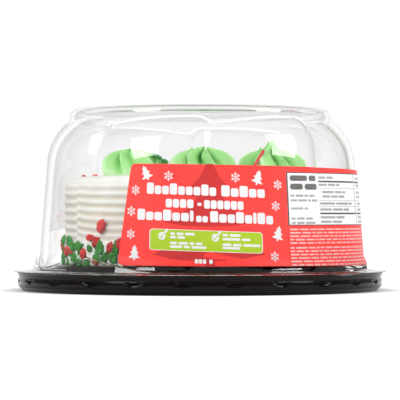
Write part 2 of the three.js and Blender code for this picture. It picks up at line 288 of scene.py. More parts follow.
def done(piece, material, nodes=()):
    """Gives a finished piece its material and body, and hides the solids it stands for."""
    piece.data.materials.clear()
    piece.data.materials.append(material)
    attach(piece, ROOT)
    if nodes:
        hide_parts(*nodes)
    return piece


# ---------------- material tools


class Nodes:
    """A node tree, with short ways to make the nodes it needs."""

    def __init__(self, tree):
        self.tree = tree

    def feed(self, node, inputs):
        """Sets a node's inputs by name or number. An output given as a value is linked."""
        for key, value in inputs.items():
            if isinstance(value, bpy.types.NodeSocket):
                self.tree.links.new(value, node.inputs[key])
            else:
                node.inputs[key].default_value = value

    def make(self, kind, inputs=None, **settings):
        """Makes a node and gives its outputs."""
        node = self.tree.nodes.new("ShaderNode" + kind)
        for key, value in settings.items():
            setattr(node, key, value)
        self.feed(node, inputs or {})
        return node.outputs

    def place(self):
        return self.make("TexCoord")["Object"]

    def path(self, what):
        return self.make("LightPath")[what]

    def kept(self, name):
        """The number that each point keeps under that name."""
        return self.make("Attribute", attribute_name=name)["Fac"]

    def noise(self, place, scale, detail=2.0, roughness=0.5):
        inputs = {"Vector": place, "Scale": scale, "Detail": detail, "Roughness": roughness}
        return self.make("TexNoise", inputs)["Fac"]

    def through_colours(self, value, stops):
        """A colour that runs through stops, ((position, colour), ...)."""
        node = self.tree.nodes.new("ShaderNodeValToRGB")
        elements = node.color_ramp.elements
        while len(elements) < len(stops):
            elements.new(0.5)
        for element, (position, colour) in zip(elements, stops):
            element.position = position
            element.color = (*colour, 1)
        self.feed(node, {"Fac": value})
        return node.outputs["Color"]

    def two_tones(self, tone, low, high):
        return self.through_colours(tone, ((0.35, low), (0.65, high)))

    def spread(self, value, low, high, to_low, to_high):
        """A number that runs from to_low to to_high while value runs from low to high."""
        inputs = {"From Min": low, "From Max": high, "To Min": to_low, "To Max": to_high}
        return self.make("MapRange", {"Value": value, **inputs})["Result"]

    def wandering(self, tone, low, high):
        return self.spread(tone, 0.3, 0.7, low, high)

    def mixed(self, share, first, second, blend="MIX"):
        inputs = {0: share, 6: first, 7: second}
        return self.make("Mix", inputs, data_type="RGBA", blend_type=blend)[2]

    def maths(self, operation, first, second):
        return self.make("Math", {0: first, 1: second}, operation=operation)["Value"]

    def grain(self, place, depth, scale, detail=2.0, roughness=0.5):
        height = self.noise(place, scale, detail, roughness)
        inputs = {"Height": height, "Strength": 1.0, "Distance": depth}
        return self.make("Bump", inputs)["Normal"]


def new_material(name):
    """An empty material, with its nodes and its Principled shader."""
    material = bpy.data.materials.new(name)
    material.use_nodes = True
    tree = material.node_tree
    return material, Nodes(tree), tree.nodes["Principled BSDF"]


def coated(name, scale, paint, rough, shine, grain=(), soft=()):
    """A finish that wanders a little. paint gives its colour from its nodes and its tone, and shine
    is how strongly it reflects. If it has them, grain is the depth and scale of its fine bumps, and
    soft is how much light goes into it and how far."""
    material, nodes, shader = new_material(name)
    place = nodes.place()
    tone = nodes.noise(place, scale, 3.0)
    inputs = {
        "Base Color": paint(nodes, tone),
        "Roughness": nodes.wandering(tone, *rough),
        "Specular IOR Level": shine,
    }
    if grain:
        inputs["Normal"] = nodes.grain(place, *grain)
    if soft:
        inputs["Subsurface Weight"], inputs["Subsurface Radius"] = soft
        inputs["Subsurface Scale"] = 1.0 * MM
    nodes.feed(shader, inputs)
    return material


def mottled(name, low, high, scale, rough, shine, grain=()):
    """A finish whose colour wanders between two tones."""

    def paint(nodes, tone):
        return nodes.two_tones(tone, low, high)

    return coated(name, scale, paint, rough, shine, grain)


def combed_icing():
    """White icing with painted shade in the comb's grooves, warmer and darker there, and a fine
    pitted grain.
    """

    def paint(nodes, tone):
        ridge = nodes.two_tones(tone, (0.8, 0.8, 0.76), (0.86, 0.86, 0.82))
        # painted shade: the grooves' warm dark colour stands in for the shade and bounced light in
        # them
        deep = nodes.two_tones(tone, (0.5, 0.43, 0.335), (0.57, 0.5, 0.4))
        return nodes.mixed(nodes.kept("groove_shade"), ridge, deep)

    grain = (0.2 * MM, 900, 3.0, 0.6)
    soft = (0.12, (1.0, 0.95, 0.8))
    return coated("white_icing", 90, paint, (0.5, 0.62), 0.3, grain, soft)


# The piped icing's colours: a painted highlight on a crest, its own light green, and painted shade
# down to the bottom of a fold.
FOLD_LIGHT_AND_SHADE = (
    (0.0, (0.60, 0.88, 0.50)), (0.12, (0.38, 0.76, 0.28)), (0.45, (0.30, 0.69, 0.20)),
    (0.75, (0.22, 0.57, 0.15)), (1.0, (0.08, 0.30, 0.06)),
)


def piped_icing():
    """Green icing: a painted highlight on the thin crests, a clear light green, and painted shade,
    deep green, in the folds.
    """

    def paint(nodes, tone):
        # painted light: the fold depth kept on the mesh gives a painted highlight at crests and
        # painted shade in the valleys
        colour = nodes.through_colours(nodes.kept("fold"), FOLD_LIGHT_AND_SHADE)
        shade = nodes.two_tones(tone, (0.93, 0.95, 0.93), (1.0, 1.0, 1.0))
        return nodes.mixed(1.0, colour, shade, "MULTIPLY")

    soft = (0.1, (0.8, 1.0, 0.6))
    return coated("green_icing", 140, paint, (0.42, 0.55), 0.35, (0.08 * MM, 1500), soft)


def clear_plastic():
    """Thin clear sheet. Rays from lamps go straight through it."""
    material, nodes, shader = new_material("clear_sheet")
    nodes.feed(shader, {
        "Base Color": (0.995, 0.995, 0.995, 1),
        "Transmission Weight": 1.0,
        "Roughness": 0.01,
        "IOR": 1.55,
    })
    through = nodes.make("BsdfTransparent", {"Color": (0.93, 0.93, 0.93, 1)})["BSDF"]
    sheet = shader.outputs["BSDF"]
    mix = nodes.make("MixShader", {0: nodes.path("Is Shadow Ray"), 1: sheet, 2: through})
    nodes.feed(material.node_tree.nodes["Material Output"], {"Surface": mix["Shader"]})
    return material


# ---------------- dome

TINY = 1e-7
DRAFT = math.atan2(WALL_FOOT_R - WALL_TOP_R, WALL_TOP_Z - WALL_FOOT_Z)
SHOULDER_R0 = WALL_TOP_R - SHOULDER_R * math.cos(DRAFT)
SHOULDER_Z0 = WALL_TOP_Z - SHOULDER_R * math.sin(DRAFT)
SHOULDER_END = math.acos((RING_R - SHOULDER_R0) / SHOULDER_R)
SPLIT_Z = SKIRT_Z + 1 * MM  # in the plain form, skirt rows lie under this and wall rows over it
LEDGE = 0.6 * MM  # height in which the skirt turns to wall
LEDGE_ROWS = 4
WALL_SPAN = 50 * MM  # about the wall's height, to space its rows by
MARK = 0.01 * MM  # the ring's foot rows are drawn this much further in, to tell them by

SKIRT_STEPS = 7
SKIRT_STEP_IN = 0.1 * MM
WALL_STEPS = 20
SHOULDER_STEPS = 22
RING_FOOT_STEPS = 5
RING_FOOT_STEP = 0.1 * MM
RING_FOOT_START = 0.12  # share of the ring's foot that lies under its first row
RING_FOOT_RISE = 0.9 * MM
EASED_RADII = (69.2 * MM, 71.0 * MM)  # the crease round the ring's foot lies between these
EASED_HEIGHTS = (85 * MM, 93.6 * MM)

# From the flange's edge in to the skirt's foot: radius and height over the flange, in mm.
FLANGE_ROWS = (
    (100.0, -0.5), (100.3, -0.25), (99.9, 0), (98, 0), (96, 0), (93.6, 0), (92.9, 0.45),
    (92.2, 0.6), (91.5, 0.4), (90.6, 0.1), (89.8, 0.35),
)

# Over the ring and onto the panel: how far in from the ring's side and over its foot, in mm.
RING_ROWS = (
    (0.2, 1.1), (0.6, 2), (1.3, 2.9), (2.4, 3.6), (3.8, 3.95), (5.4, 4), (6.8, 3.75), (7.9, 3.2),
    (8.6, 2.4), (9.1, 1.8), (9.6, 1.7), (20, 1.7), (40, 1.7), (60, 1.7),
)


def seam_lean(height):
    """Degrees that the seams between the lobes have moved round at a height."""
    return -SEAM_LEAN * (1 - smooth(*SEAM_ENDS, height))


def lobe_place(azimuth):
    return ((azimuth - VALLEY_AZIMUTH) % LOBE_PITCH) / LOBE_PITCH


def lobe_inset(place):
    """How far a lobe's wall is drawn in: nothing at its crown, all of it at the rounded valley."""
    easy_place = place if place < LOBE_CROWN else place - 1
    steep_place = place if place >= LOBE_CROWN else place + 1
    easy = LOBE_DEPTH * ((LOBE_CROWN - easy_place) / LOBE_CROWN) ** 2
    steep = LOBE_DEPTH * ((steep_place - LOBE_CROWN) / (1 - LOBE_CROWN)) ** 2
    both = math.exp(-easy / LOBE_SOFT) + math.exp(-steep / LOBE_SOFT)
    return -LOBE_SOFT * math.log(both)


def arch_height(place):
    """Where a lobe's wall comes down onto the skirt."""
    steep = (place - LOBE_CROWN) / (1 - LOBE_CROWN)
    rise = max(1 - place / ARCH_REACH, steep, 0)
    return SKIRT_Z + ARCH_FOOT + ARCH_RISE * rise


def dome_radius(azimuth, height, ledge=LEDGE):
    """The dome's outside below its shoulder. ledge is the height in which skirt turns to wall."""
    place = lobe_place(azimuth - seam_lean(height))
    share = smooth(0, 1, (height - arch_height(place)) / ledge)
    skirt = SKIRT_R - (height - SKIRT_Z) * SKIRT_SLOPE
    wall = WALL_FOOT_R - (height - WALL_FOOT_Z) * math.tan(DRAFT) - lobe_inset(place)
    return lerp(max(skirt, wall), wall, share)


def dome_profile():
    """The dome's rings from the flange's edge to the middle of the top panel."""
    rows = [(radius * MM, FLANGE_Z + over * MM) for radius, over in FLANGE_ROWS]
    for i in range(SKIRT_STEPS):
        rows.append((SKIRT_R - i * SKIRT_STEP_IN, lerp(SKIRT_Z, SPLIT_Z, i / SKIRT_STEPS)))
    for i in range(WALL_STEPS):
        rows.append((WALL_FOOT_R, lerp(SPLIT_Z, WALL_TOP_Z, i / WALL_STEPS)))
    for i in range(SHOULDER_STEPS + 1):
        angle = lerp(DRAFT, SHOULDER_END, i / SHOULDER_STEPS)
        rows.append(on_shoulder(SHOULDER_R, angle))
    for i in range(RING_FOOT_STEPS):
        rows.append((RING_R - MARK, RING_FOOT_Z + i * RING_FOOT_STEP))
    rows += [(RING_R - inward * MM, RING_FOOT_Z + over * MM) for inward, over in RING_ROWS]
    return rows


def on_shoulder(reach, angle):
    """Radius and height on the shoulder's curve."""
    return SHOULDER_R0 + reach * math.cos(angle), SHOULDER_Z0 + reach * math.sin(angle)


def ledge_spacing(share):
    """Sets the wall's first rows close together, where the ledge over the skirt turns."""
    first = LEDGE_ROWS / WALL_STEPS
    ledge = LEDGE / WALL_SPAN
    if share < first:
        return share / first * ledge
    return lerp(ledge, 1, (share - first) / (1 - first))


def tab_dip(azimuth, radius):
    """How far the lift tab bends down at a place on the flange."""
    off = abs(azimuth - TAB_AZIMUTH) / TAB_HALF_WIDTH
    if off >= 1:
        return 0.0
    return TAB_DROP * math.cos(off * math.pi / 2) ** 2 * smooth(TAB_INNER_R, FLANGE_R, radius)


def lobed_side(azimuth, height):
    """A point of the plain skirt and wall, put onto the arches, the ledge and the lobes."""
    arch = arch_height(lobe_place(azimuth))
    if height < SPLIT_Z:
        height = lerp(SKIRT_Z, arch, (height - SKIRT_Z) / (SPLIT_Z - SKIRT_Z))
    else:
        share = (height - SPLIT_Z) / (WALL_TOP_Z - SPLIT_Z)
        height = lerp(arch, WALL_TOP_Z, ledge_spacing(share))
    azimuth += seam_lean(height)
    return around(dome_radius(azimuth, height), azimuth, height)


def lobed_shoulder(radius, azimuth, height):
    """A point of the plain shoulder, put onto the lobes, which run out at the ring."""
    reach = SHOULDER_R - lobe_inset(lobe_place(azimuth))
    own_end = math.acos((RING_R - SHOULDER_R0) / reach)
    angle = math.atan2(height - SHOULDER_Z0, radius - SHOULDER_R0)
    share = (angle - DRAFT) / (SHOULDER_END - DRAFT)
    out, up = on_shoulder(reach, lerp(DRAFT, own_end, share))
    return around(out, azimuth + seam_lean(up), up)


def lobed_ring_foot(radius, azimuth, height):
    """A point of the ring's foot, spread from the lobes' upper end to where the ring is round."""
    reach = SHOULDER_R - lobe_inset(lobe_place(azimuth))
    low = SHOULDER_Z0 + math.sqrt(reach**2 - (RING_R - SHOULDER_R0) ** 2)
    share = (height - RING_FOOT_Z) / (RING_FOOT_STEP * RING_FOOT_STEPS) + RING_FOOT_START
    return around(radius, azimuth, lerp(low, RING_FOOT_Z + RING_FOOT_RISE, share))


def lobed(point):
    """Puts a point of the plain turned dome onto its lobes."""
    radius = reach_of(point)
    azimuth = azimuth_of(point)
    if radius > SKIRT_R + TINY:
        return point - Vector((0, 0, tab_dip(azimuth, radius)))
    if SKIRT_Z - TINY <= point.z <= WALL_TOP_Z:
        return lobed_side(azimuth, point.z)
    if radius >= RING_R - TINY:
        return lobed_shoulder(radius, azimuth, point.z)
    if radius > RING_R - 2 * MARK:
        return lobed_ring_foot(radius, azimuth, point.z)
    return point


def ease_band(piece, radii, heights):
    """Rounds the creases that lie between two radii and two heights."""

    def in_band(place):
        return radii[0] < reach_of(place) < radii[1] and heights[0] < place.z < heights[1]

    select_points(piece, in_band)
    open_for_edit(piece)
    bpy.ops.mesh.vertices_smooth(factor=0.5, repeat=1)
    close_edit()


def make_dome(material):
    dome = drawn_up("dome_shell", 480, dome_profile(), close="top")
    shape_by(dome, lobed)
    ease_band(dome, EASED_RADII, EASED_HEIGHTS)
    faces_outwards(dome)
    give_thickness(dome, SKIN, -1)
    smooth_faces(dome)
    return done(dome, material, ["dome", "dome_flange"])


# ---------------- tray

LUG_ROWS = 16
LUG_BAND_TOP = 6.5  # mm, like the next four: the part of the wall that the dimples lie in
LUG_BAND_TALL = 4.0
WALL_MIDDLE_Z = 4.7
WALL_R = 97.0
WALL_BULGE = 1.3
WALL_ROUNDING = 3.2
LUG_EDGE = 0.16  # share of a dimple's height over which its upper edge turns in
LUG_TAPER = 1.7

# Radius and height in mm: from the lip down to the dimples, and from under them in to the middle.
TRAY_LIP = ((97.4, 9.7), (97.3, 9.2), (97.0, 8.5), (96.65, 7.8), (96.5, 7.2), (96.55, 6.8))
TRAY_BELOW = (
    (96.0, 2.1), (95.6, 1.6), (95.0, 1.0), (94.2, 0.5), (93.4, 0.15), (92.6, 0.0), (88.0, 0.0),
    (85.2, 0.0), (84.2, 0.3), (83.6, 1.2), (80.8, 6.5), (78.3, 11.0), (77.6, 12.3), (77.0, 13.0),
    (76.2, 13.3), (60.0, 13.3), (30.0, 13.3), (8.0, 13.3),
)


def tray_profile():
    """The tray's upper and outer side, from its lip down the outside and up over the plate."""
    band = []
    for i in range(LUG_ROWS + 1):
        height = LUG_BAND_TOP - i * LUG_BAND_TALL / LUG_ROWS
        bulge = math.cos((height - WALL_MIDDLE_Z) / WALL_ROUNDING) - 1
        band.append((WALL_R + WALL_BULGE * bulge, height))
    return [(radius * MM, height * MM) for radius, height in (*TRAY_LIP, *band, *TRAY_BELOW)]


def dimpled(point):
    """Pushes the snap dimples into the tray's wall: a straight upper edge and a bowl under it."""
    radius = reach_of(point)
    azimuth = azimuth_of(point)
    pitch = 360 / LUGS
    off = (azimuth - LUG_AZIMUTH + pitch / 2) % pitch - pitch / 2
    along = abs(off) / LUG_HALF_WIDTH
    if radius < 94 * MM or along >= 1:
        return point
    share = (LUG_TOP_Z - point.z) / (LUG_TALL * (1 - along * along))
    if not 0 < share < 1:
        return point
    bowl = smooth(0, LUG_EDGE, share) * (1 - share) ** LUG_TAPER
    push = LUG_DEPTH * math.sqrt(1 - along * along) * bowl
    return around(radius - push, azimuth, point.z)


def make_tray(material):
    tray = drawn_up("tray_shell", 600, tray_profile(), close="top")
    shape_by(tray, dimpled)
    faces_outwards(tray)
    give_thickness(tray, TRAY_SHEET, 0)
    smooth_faces(tray, 45)
    return done(tray, material, ["tray"])


# ---------------- label

LABEL_COLUMNS = 280
LABEL_ROWS = 56
LABEL_FOOT = (14.8, 13.6)  # height of the lower edge at its left and right end, in mm
LABEL_TOP = (66.2, 63.2)
BRIDGE = ((-2.0, 0.15), (-1.0, 0.22), (0.0, 0.26), (1.0, 0.22), (2.0, 0.15))  # degrees and weight
BRIDGE_LEDGE = 7 * MM
CROWDING = 0.14  # how much closer the columns stand at the ends


def label_edge(azimuth, at_left, at_right):
    """The height of an edge of the label that runs straight from one height in mm to another."""
    return lerp(at_left, at_right, (azimuth - LABEL_LEFT) / (LABEL_RIGHT - LABEL_LEFT)) * MM


def label_radius(azimuth, height):
    """The stiff film bridges the lobes' valleys and the ledge at their foot in a softer curve."""
    whole = 0.0
    for side, weight in BRIDGE:
        whole += weight * dome_radius(azimuth + side, height, BRIDGE_LEDGE)
    return max(whole, dome_radius(azimuth, height)) + LABEL_FACE


def on_label(azimuth, height, lift=0.0):
    """The point of the label's face at an azimuth and height."""
    return around(label_radius(azimuth, height) + lift, azimuth, height)


def spaced_to_ends(share):
    """Sets the label's columns closer at its two rounded ends."""
    return share - CROWDING * math.sin(2 * math.pi * share) / (2 * math.pi)


def wrapped(point):
    """Puts a point of a flat square sheet onto the label."""
    share = (point.y + 1) / 2
    column = lerp(LABEL_LEFT, LABEL_RIGHT, spaced_to_ends((point.x + 1) / 2))
    arc = math.radians(1) * WALL_FOOT_R
    edge = min((column - LABEL_LEFT) * arc, (LABEL_RIGHT - column) * arc, LABEL_CORNER)
    cut = LABEL_CORNER - math.sqrt(max(LABEL_CORNER**2 - (LABEL_CORNER - edge) ** 2, 0))
    low = label_edge(column, *LABEL_FOOT) + cut
    high = label_edge(column, *LABEL_TOP) - cut
    lean = LABEL_SLANT * share * max(0, 1 - (column - LABEL_LEFT) / LABEL_SLANT_REACH)
    return on_label(column + lean, lerp(low, high, share), -LABEL_THICKNESS)


def make_label(material):
    """A flat sheet cut to the label's outline, wrapped round the dome."""
    deselect_all()
    bpy.ops.mesh.primitive_grid_add(
        x_subdivisions=LABEL_COLUMNS, y_subdivisions=LABEL_ROWS, size=2
    )
    label = newly_made("label_sheet")
    shape_by(label, wrapped)
    faces_outwards(label)
    face_off_axis(label)
    give_thickness(label, LABEL_THICKNESS, 1)
    smooth_faces(label, 35)
    return done(label, material, ["label"])


# ---------------- label print

LAYER = 0.07 * MM
PRINT_THICKNESS = 1.2 * LAYER
PRINT_SLOPE = 0.053  # mm that the front's print falls for each degree to the right
STRIP = 0.75  # degrees
FIRST_STRIP = -30.0
FOOT_LEVEL = 28 * MM  # under this the label bends more, so the print is cut at closer levels
FOOT_CUT = 1 * MM
UPPER_CUT = 8 * MM


def turned(outline, degrees, up=0.0):
    """An outline turned about its middle and then moved up."""
    turn = math.radians(degrees)
    return [
        (x * math.cos(turn) - y * math.sin(turn), up + x * math.sin(turn) + y * math.cos(turn))
        for x, y in outline
    ]


def strip(half_width, low, high):
    return [(-half_width, low), (half_width, low), (half_width, high), (-half_width, high)]


def disc(corners):
    angles = [2 * math.pi * i / corners for i in range(corners)]
    return [(math.cos(angle), math.sin(angle)) for angle in angles]


def cut_everywhere(place, normal):
    bpy.ops.mesh.select_all(action="SELECT")
    bpy.ops.mesh.bisect(plane_co=place, plane_no=normal)


class Print:
    """Flat shapes of one colour, cut from a sheet in the label's own plane: x is an azimuth in
    degrees times the arc of one degree, and y is a height. They are wrapped on together."""

    arc_mm = math.radians(1) * 87
    arc = arc_mm * MM

    def __init__(self, name, layer, slope=0.0):
        self.name = name
        self.layer = layer
        self.slope = slope
        self.outlines = []

    def shape(self, points):
        self.outlines.append([(x * self.arc, y * MM) for x, y in points])

    def bar(self, left, right, low, high, round_by=0.0):
        """A bar between two azimuths and two heights, with rounded corners."""
        if not round_by:
            self.shape([(left, low), (right, low), (right, high), (left, high)])
            return
        wide = round_by / self.arc_mm
        points = []
        corners = (
            (right - wide, high - round_by, 0), (left + wide, high - round_by, 90),
            (left + wide, low + round_by, 180), (right - wide, low + round_by, 270),
        )
        for x, y, start in corners:
            for step in range(4):
                angle = math.radians(start + step * 30)
                points.append((x + wide * math.cos(angle), y + round_by * math.sin(angle)))
        self.shape(points)

    def drawing(self, azimuth, height, size, tilt, outline):
        """A small drawing about a point, from an outline in shares of its size."""
        points = turned(outline, tilt)
        self.shape([(azimuth + x * size / self.arc_mm, height + y * size) for x, y in points])

    def wrap_on(self, material):
        """Makes the piece and wraps it onto the label's face."""
        vertices = []
        faces = []
        for outline in self.outlines:
            start = len(vertices)
            vertices += [(x, 0, y) for x, y in outline]
            faces.append(list(range(start, len(vertices))))
        mesh = bpy.data.meshes.new(self.name)
        mesh.from_pydata(vertices, [], faces)
        piece = put_in_scene(self.name, mesh)
        self.cut_in_strips(piece)
        lift = self.layer * LAYER
        fall = self.slope * MM

        def wrap(point):
            azimuth = point.x / self.arc
            return on_label(azimuth, point.z - fall * azimuth, lift)

        shape_by(piece, wrap)
        face_off_axis(piece)
        give_thickness(piece, PRINT_THICKNESS, -1)
        return done(piece, material)

    def cut_in_strips(self, piece):
        """Cuts the shapes often enough to bend with the label."""
        open_for_edit(piece, "SELECT")
        bpy.ops.mesh.quads_convert_to_tris(ngon_method="CLIP")
        widths = [abs(x) for outline in self.outlines for x, _ in outline]
        levels = [y for outline in self.outlines for _, y in outline]
        azimuth = FIRST_STRIP
        while azimuth * self.arc < max(widths):
            cut_everywhere((azimuth * self.arc, 0, 0), (1, 0, 0))
            azimuth += STRIP
        level = FOOT_CUT * math.ceil(min(levels) / FOOT_CUT)
        while level < max(levels):
            cut_everywhere((0, 0, level), (0, 0, 1))
            level += FOOT_CUT if level < FOOT_LEVEL else UPPER_CUT
        close_edit()


PINE_SIZE = 4.3  # mm
FLAKE_SIZE = 2.6  # mm, of which the next five are shares
FLAKE_HALF_WIDTH = 0.075
ARM_FROM = 0.1
ARM_TO = 1
FORK_LENGTH = 0.34
FORK_FROM = 0.5


def add_flake(sheet, azimuth, height):
    """Six arms from the middle, each with a short fork."""
    arm = strip(FLAKE_HALF_WIDTH, ARM_FROM, ARM_TO)
    fork = strip(FLAKE_HALF_WIDTH, 0, FORK_LENGTH)
    for turn in range(0, 360, 60):
        for part in (arm, turned(fork, -45, FORK_FROM), turned(fork, 45, FORK_FROM)):
            sheet.drawing(azimuth, height, FLAKE_SIZE, turn, part)


WORD_ROUNDING = 0.45  # share of a word's height
WORD_CORNER = 1.4  # mm at the most


def add_words(sheet, left, right, low, high, lengths, gap):
    """A line of plain bars that stands for words. lengths are shares of the line, as numbers or as
    digits."""
    lengths = [float(length) for length in lengths]
    whole = sum(lengths)
    room = (right - left) - gap * (len(lengths) - 1)
    for length in lengths:
        end = left + room * length / whole
        sheet.bar(left, end, low, high, min(WORD_ROUNDING * (high - low), WORD_CORNER))
        left = end + gap


# A title's blocks: their width, and between which shares of the line's height they stand.
BLOCKS = {
    "t": (1.0, 0, 1), "x": (0.92, 0, 0.76), "l": (0.42, 0, 1), "d": (0.45, 0.3, 0.66),
    " ": (0.5, 0, 0),
}
BLOCK_GAP = 0.13


def add_title(sheet, left, right, low, high, pattern):
    """A line of blocks in place of letters: t tall, x low, l narrow and d a dash."""
    unit = (right - left) / (sum(BLOCKS[kind][0] + BLOCK_GAP for kind in pattern) - BLOCK_GAP)
    for kind in pattern:
        width, foot, top = BLOCKS[kind]
        end = left + width * unit
        corner = 0.5 if kind == "d" else min(0.42 * (end - left) * sheet.arc_mm, 0.9)
        if top:
            sheet.bar(left, end, lerp(low, high, foot), lerp(low, high, top), corner)
        left = end + BLOCK_GAP * unit


BIG_TREE = (
    (2.2, 66.0), (4.6, 66.1), (7.0, 59.4), (10.5, 54.1), (14.0, 51.1), (8.0, 49.6), (10.0, 45.5),
    (14.0, 40.7), (19.0, 37.8), (12.0, 35.5), (3.0, 34.4), (-6.0, 34.6), (-12.5, 36.1),
    (-7.0, 39.6), (-3.0, 44.8), (-1.0, 49.1), (-7.5, 50.0), (-3.8, 53.3), (-0.3, 59.0),
)
BIG_TREE_FOOT = (
    (-16.0, 19.7), (-9.0, 17.7), (0.0, 17.0), (3.0, 17.1), (12.0, 18.2), (22.5, 21.7),
    (14.0, 26.7), (-8.0, 25.6),
)
BIG_TREE_TRUNK = ((1.6, 17.5), (1.6, 14.5), (4.8, 14.6), (4.8, 17.6))

PINE = (
    (0.0, 1.05), (0.15, 0.8), (0.36, 0.6), (0.2, 0.56), (0.36, 0.26), (0.6, 0.06), (0.3, 0.04),
    (0.46, -0.26), (0.78, -0.46), (0.4, -0.52), (0.12, -0.5), (0.12, -0.74), (-0.1, -0.74),
    (-0.1, -0.5), (-0.44, -0.5), (-0.76, -0.42), (-0.44, -0.22), (-0.3, 0.06), (-0.6, 0.1),
    (-0.36, 0.3), (-0.2, 0.57), (-0.36, 0.62), (-0.14, 0.82),
)

# Pines: azimuth, height in mm and tilt. Flakes: azimuth and height.
PINES = ((-18.8, 59.9, 24), (20.3, 59.6, -16), (-22.3, 19.6, 0), (27.1, 31.7, -12))
FLAKES = (
    (-10.8, 59.3), (12.4, 59.8), (27.7, 56.9), (-22.6, 51.6), (-24.0, 40.9), (-23.9, 29.4),
    (26.6, 46.1), (25.6, 20.6),
)

# Each title: its left and right azimuth, foot and top in mm, and its blocks.
TITLES = (
    (-18.4, 5.6, 50.0, 55.6, "txxtxxxtx"), (7.4, 22.7, 50.0, 55.6, "txtxx"),
    (-11.6, -2.2, 43.5, 47.8, "tttt"), (-0.9, 0.5, 43.5, 47.8, "d"),
    (1.4, 15.0, 43.5, 47.8, "tttttt"), (-21.6, -2.2, 36.8, 42.3, "txxtxxl"),
    (-1.3, 2.7, 36.6, 40.8, "xx"), (3.5, 25.4, 36.8, 42.4, "txxtxltx"),
    (-1.7, 4.1, 15.9, 18.9, "xxx x"),
)

# Lines on the green field: left azimuth, top in mm, share of the field's width, and the words.
NOTES = (
    (-9.9, 31.1, 0.62, "234"), (-9.9, 29.3, 0.38, "34"), (-9.9, 26.4, 0.82, "3423"),
    (-9.9, 24.6, 0.92, "425"), (7.6, 31.2, 0.47, "24"), (7.6, 29.2, 0.72, "63"),
    (7.6, 26.4, 0.98, "336"), (7.6, 24.8, 0.45, "6"),
)
NOTE_WIDTH = 13.2
NOTE_TALL = 1.25
FIELD_EDGE = (-17.0, 21.4, 21.9, 32.6, 1.5)  # left and right azimuth, foot, top and corners in mm
FIELD = (-16.7, 21.1, 22.2, 32.3, 1.3)
MARKS = (-12.7, 5.2)  # azimuths of the two round marks
TICK = ((-0.9, 0.3), (-0.2, -0.7), (0.9, 1.1), (1.15, 0.9), (-0.2, -1.15), (-1.2, 0.1))


def print_front(finish):
    """The dark tree, the titles with pines and flakes about them, and the green field."""
    tree = Print("print_big_tree", 1, PRINT_SLOPE)
    for outline in (BIG_TREE, BIG_TREE_FOOT, BIG_TREE_TRUNK):
        tree.shape(outline)
    tree.wrap_on(finish["deep_red_print"])
    white = Print("print_white", 2, PRINT_SLOPE)
    for title in TITLES:
        add_title(white, *title)
    for azimuth, height, tilt in PINES:
        white.drawing(azimuth, height, PINE_SIZE, tilt, PINE)
    for azimuth, height in FLAKES:
        add_flake(white, azimuth, height)
    white.bar(*FIELD_EDGE)
    white.wrap_on(finish["white_print"])
    green = Print("print_green", 3, PRINT_SLOPE)
    green.bar(*FIELD)
    green.wrap_on(finish["green_print"])


def print_field(finish):
    """The lines on the green field, and its two round marks with their ticks."""
    notes = Print("print_notes", 4, PRINT_SLOPE)
    for start, high, share, words in NOTES:
        add_words(notes, start, start + NOTE_WIDTH * share, high - NOTE_TALL, high, words, 0.5)
    ticks = Print("print_ticks", 5, PRINT_SLOPE)
    for azimuth in MARKS:
        notes.drawing(azimuth, 29.1, 1.95, 0, disc(18))
        notes.drawing(azimuth + 1.1, 31.0, 1.9, -40, strip(0.28, -1.2, 1.1))
        ticks.drawing(azimuth, 29.2, 1.25, 0, TICK)
    notes.wrap_on(finish["white_print"])
    ticks.wrap_on(finish["green_print"])


# Lines of the table. Each has its middle's height in mm, its right end and its words.
TABLE_NAMES = (
    (50.0, 44.0, "1212"), (47.6, 46.0, "2313"), (43.5, 40.0, "31"),
    (38.4, 42.0, "122"), (36.2, 43.5, "123"),
)
TABLE_VALUES = (
    (59.4, 56.0, "22"), (55.7, 60.0, "221"), (52.0, 64.0, "321"), (49.7, 63.0, "222"),
    (46.1, 69.0, "331"), (43.0, 66.0, "332"), (39.0, 62.0, "32"), (36.7, 60.0, "22"),
)
SET_IN = (52.0, 49.7)  # the lines that start further in

# The table's flat parts: name, layer, finish, and bars (left and right azimuth, foot and top in mm).
TABLE_BARS = (
    ("print_table", 1, "table_white", ((31.2, 106, 34.9, 61.9),)),
    ("print_rules", 2, "table_rule", (
        (31.2, 31.7, 34.9, 61.9), (31.7, 106, 61.5, 61.9), (31.7, 106, 34.9, 35.3),
        (105.4, 106, 35.3, 61.5), (47.5, 72.6, 57.0, 57.8), (74, 103, 57.0, 57.8),
        (47.5, 72.6, 40.6, 41.4), (74, 103, 40.6, 41.4),
    )),
    ("print_thin_rules", 2, "table_grey", (
        (47.2, 103, 53.88, 54.12), (47.2, 103, 47.58, 47.82), (47.2, 103, 44.48, 44.72),
        (72.9, 73.5, 35.6, 61.2),
    )),
)


def print_table(finish):
    """The white table right of the front, with its dark rules and lines."""
    for name, layer, colour, bars in TABLE_BARS:
        sheet = Print(name, layer)
        for bar in bars:
            sheet.bar(*bar)
        sheet.wrap_on(finish[colour])
    heads = Print("print_table_heads", 2)
    add_words(heads, 32.6, 45.6, 57.5, 60.3, "53", 0.8)
    add_words(heads, 32.6, 46.2, 53.1, 56.1, "34", 0.8)
    heads.wrap_on(finish["table_head"])
    lines = Print("print_table_lines", 2)
    for level, right, words in TABLE_NAMES:
        add_words(lines, 32.6, right, level - 0.55, level + 0.55, words, 0.5)
    for level, right, words in TABLE_VALUES:
        start = 49.5 if level in SET_IN else 47.8
        add_words(lines, start, right, level - 0.6, level + 0.6, words, 0.6)
        add_words(lines, 76, 84, level - 0.6, level + 0.6, "1", 0.6)
    lines.wrap_on(finish["table_grey"])


def random_words(draws, width):
    """Word lengths that fill a line of that many degrees."""
    lengths = []
    while sum(lengths) < width:
        lengths.append(draws.uniform(1.6, 5.2))
    return lengths


FINE_ROWS = 11
FINE_TOP = 32.9  # mm, like the next three
FINE_STEP = 1.72
FINE_HALF = 0.42
BLOCK_STEP = 0.7  # more room between the two blocks
BLOCK_ENDS = (4, 10)


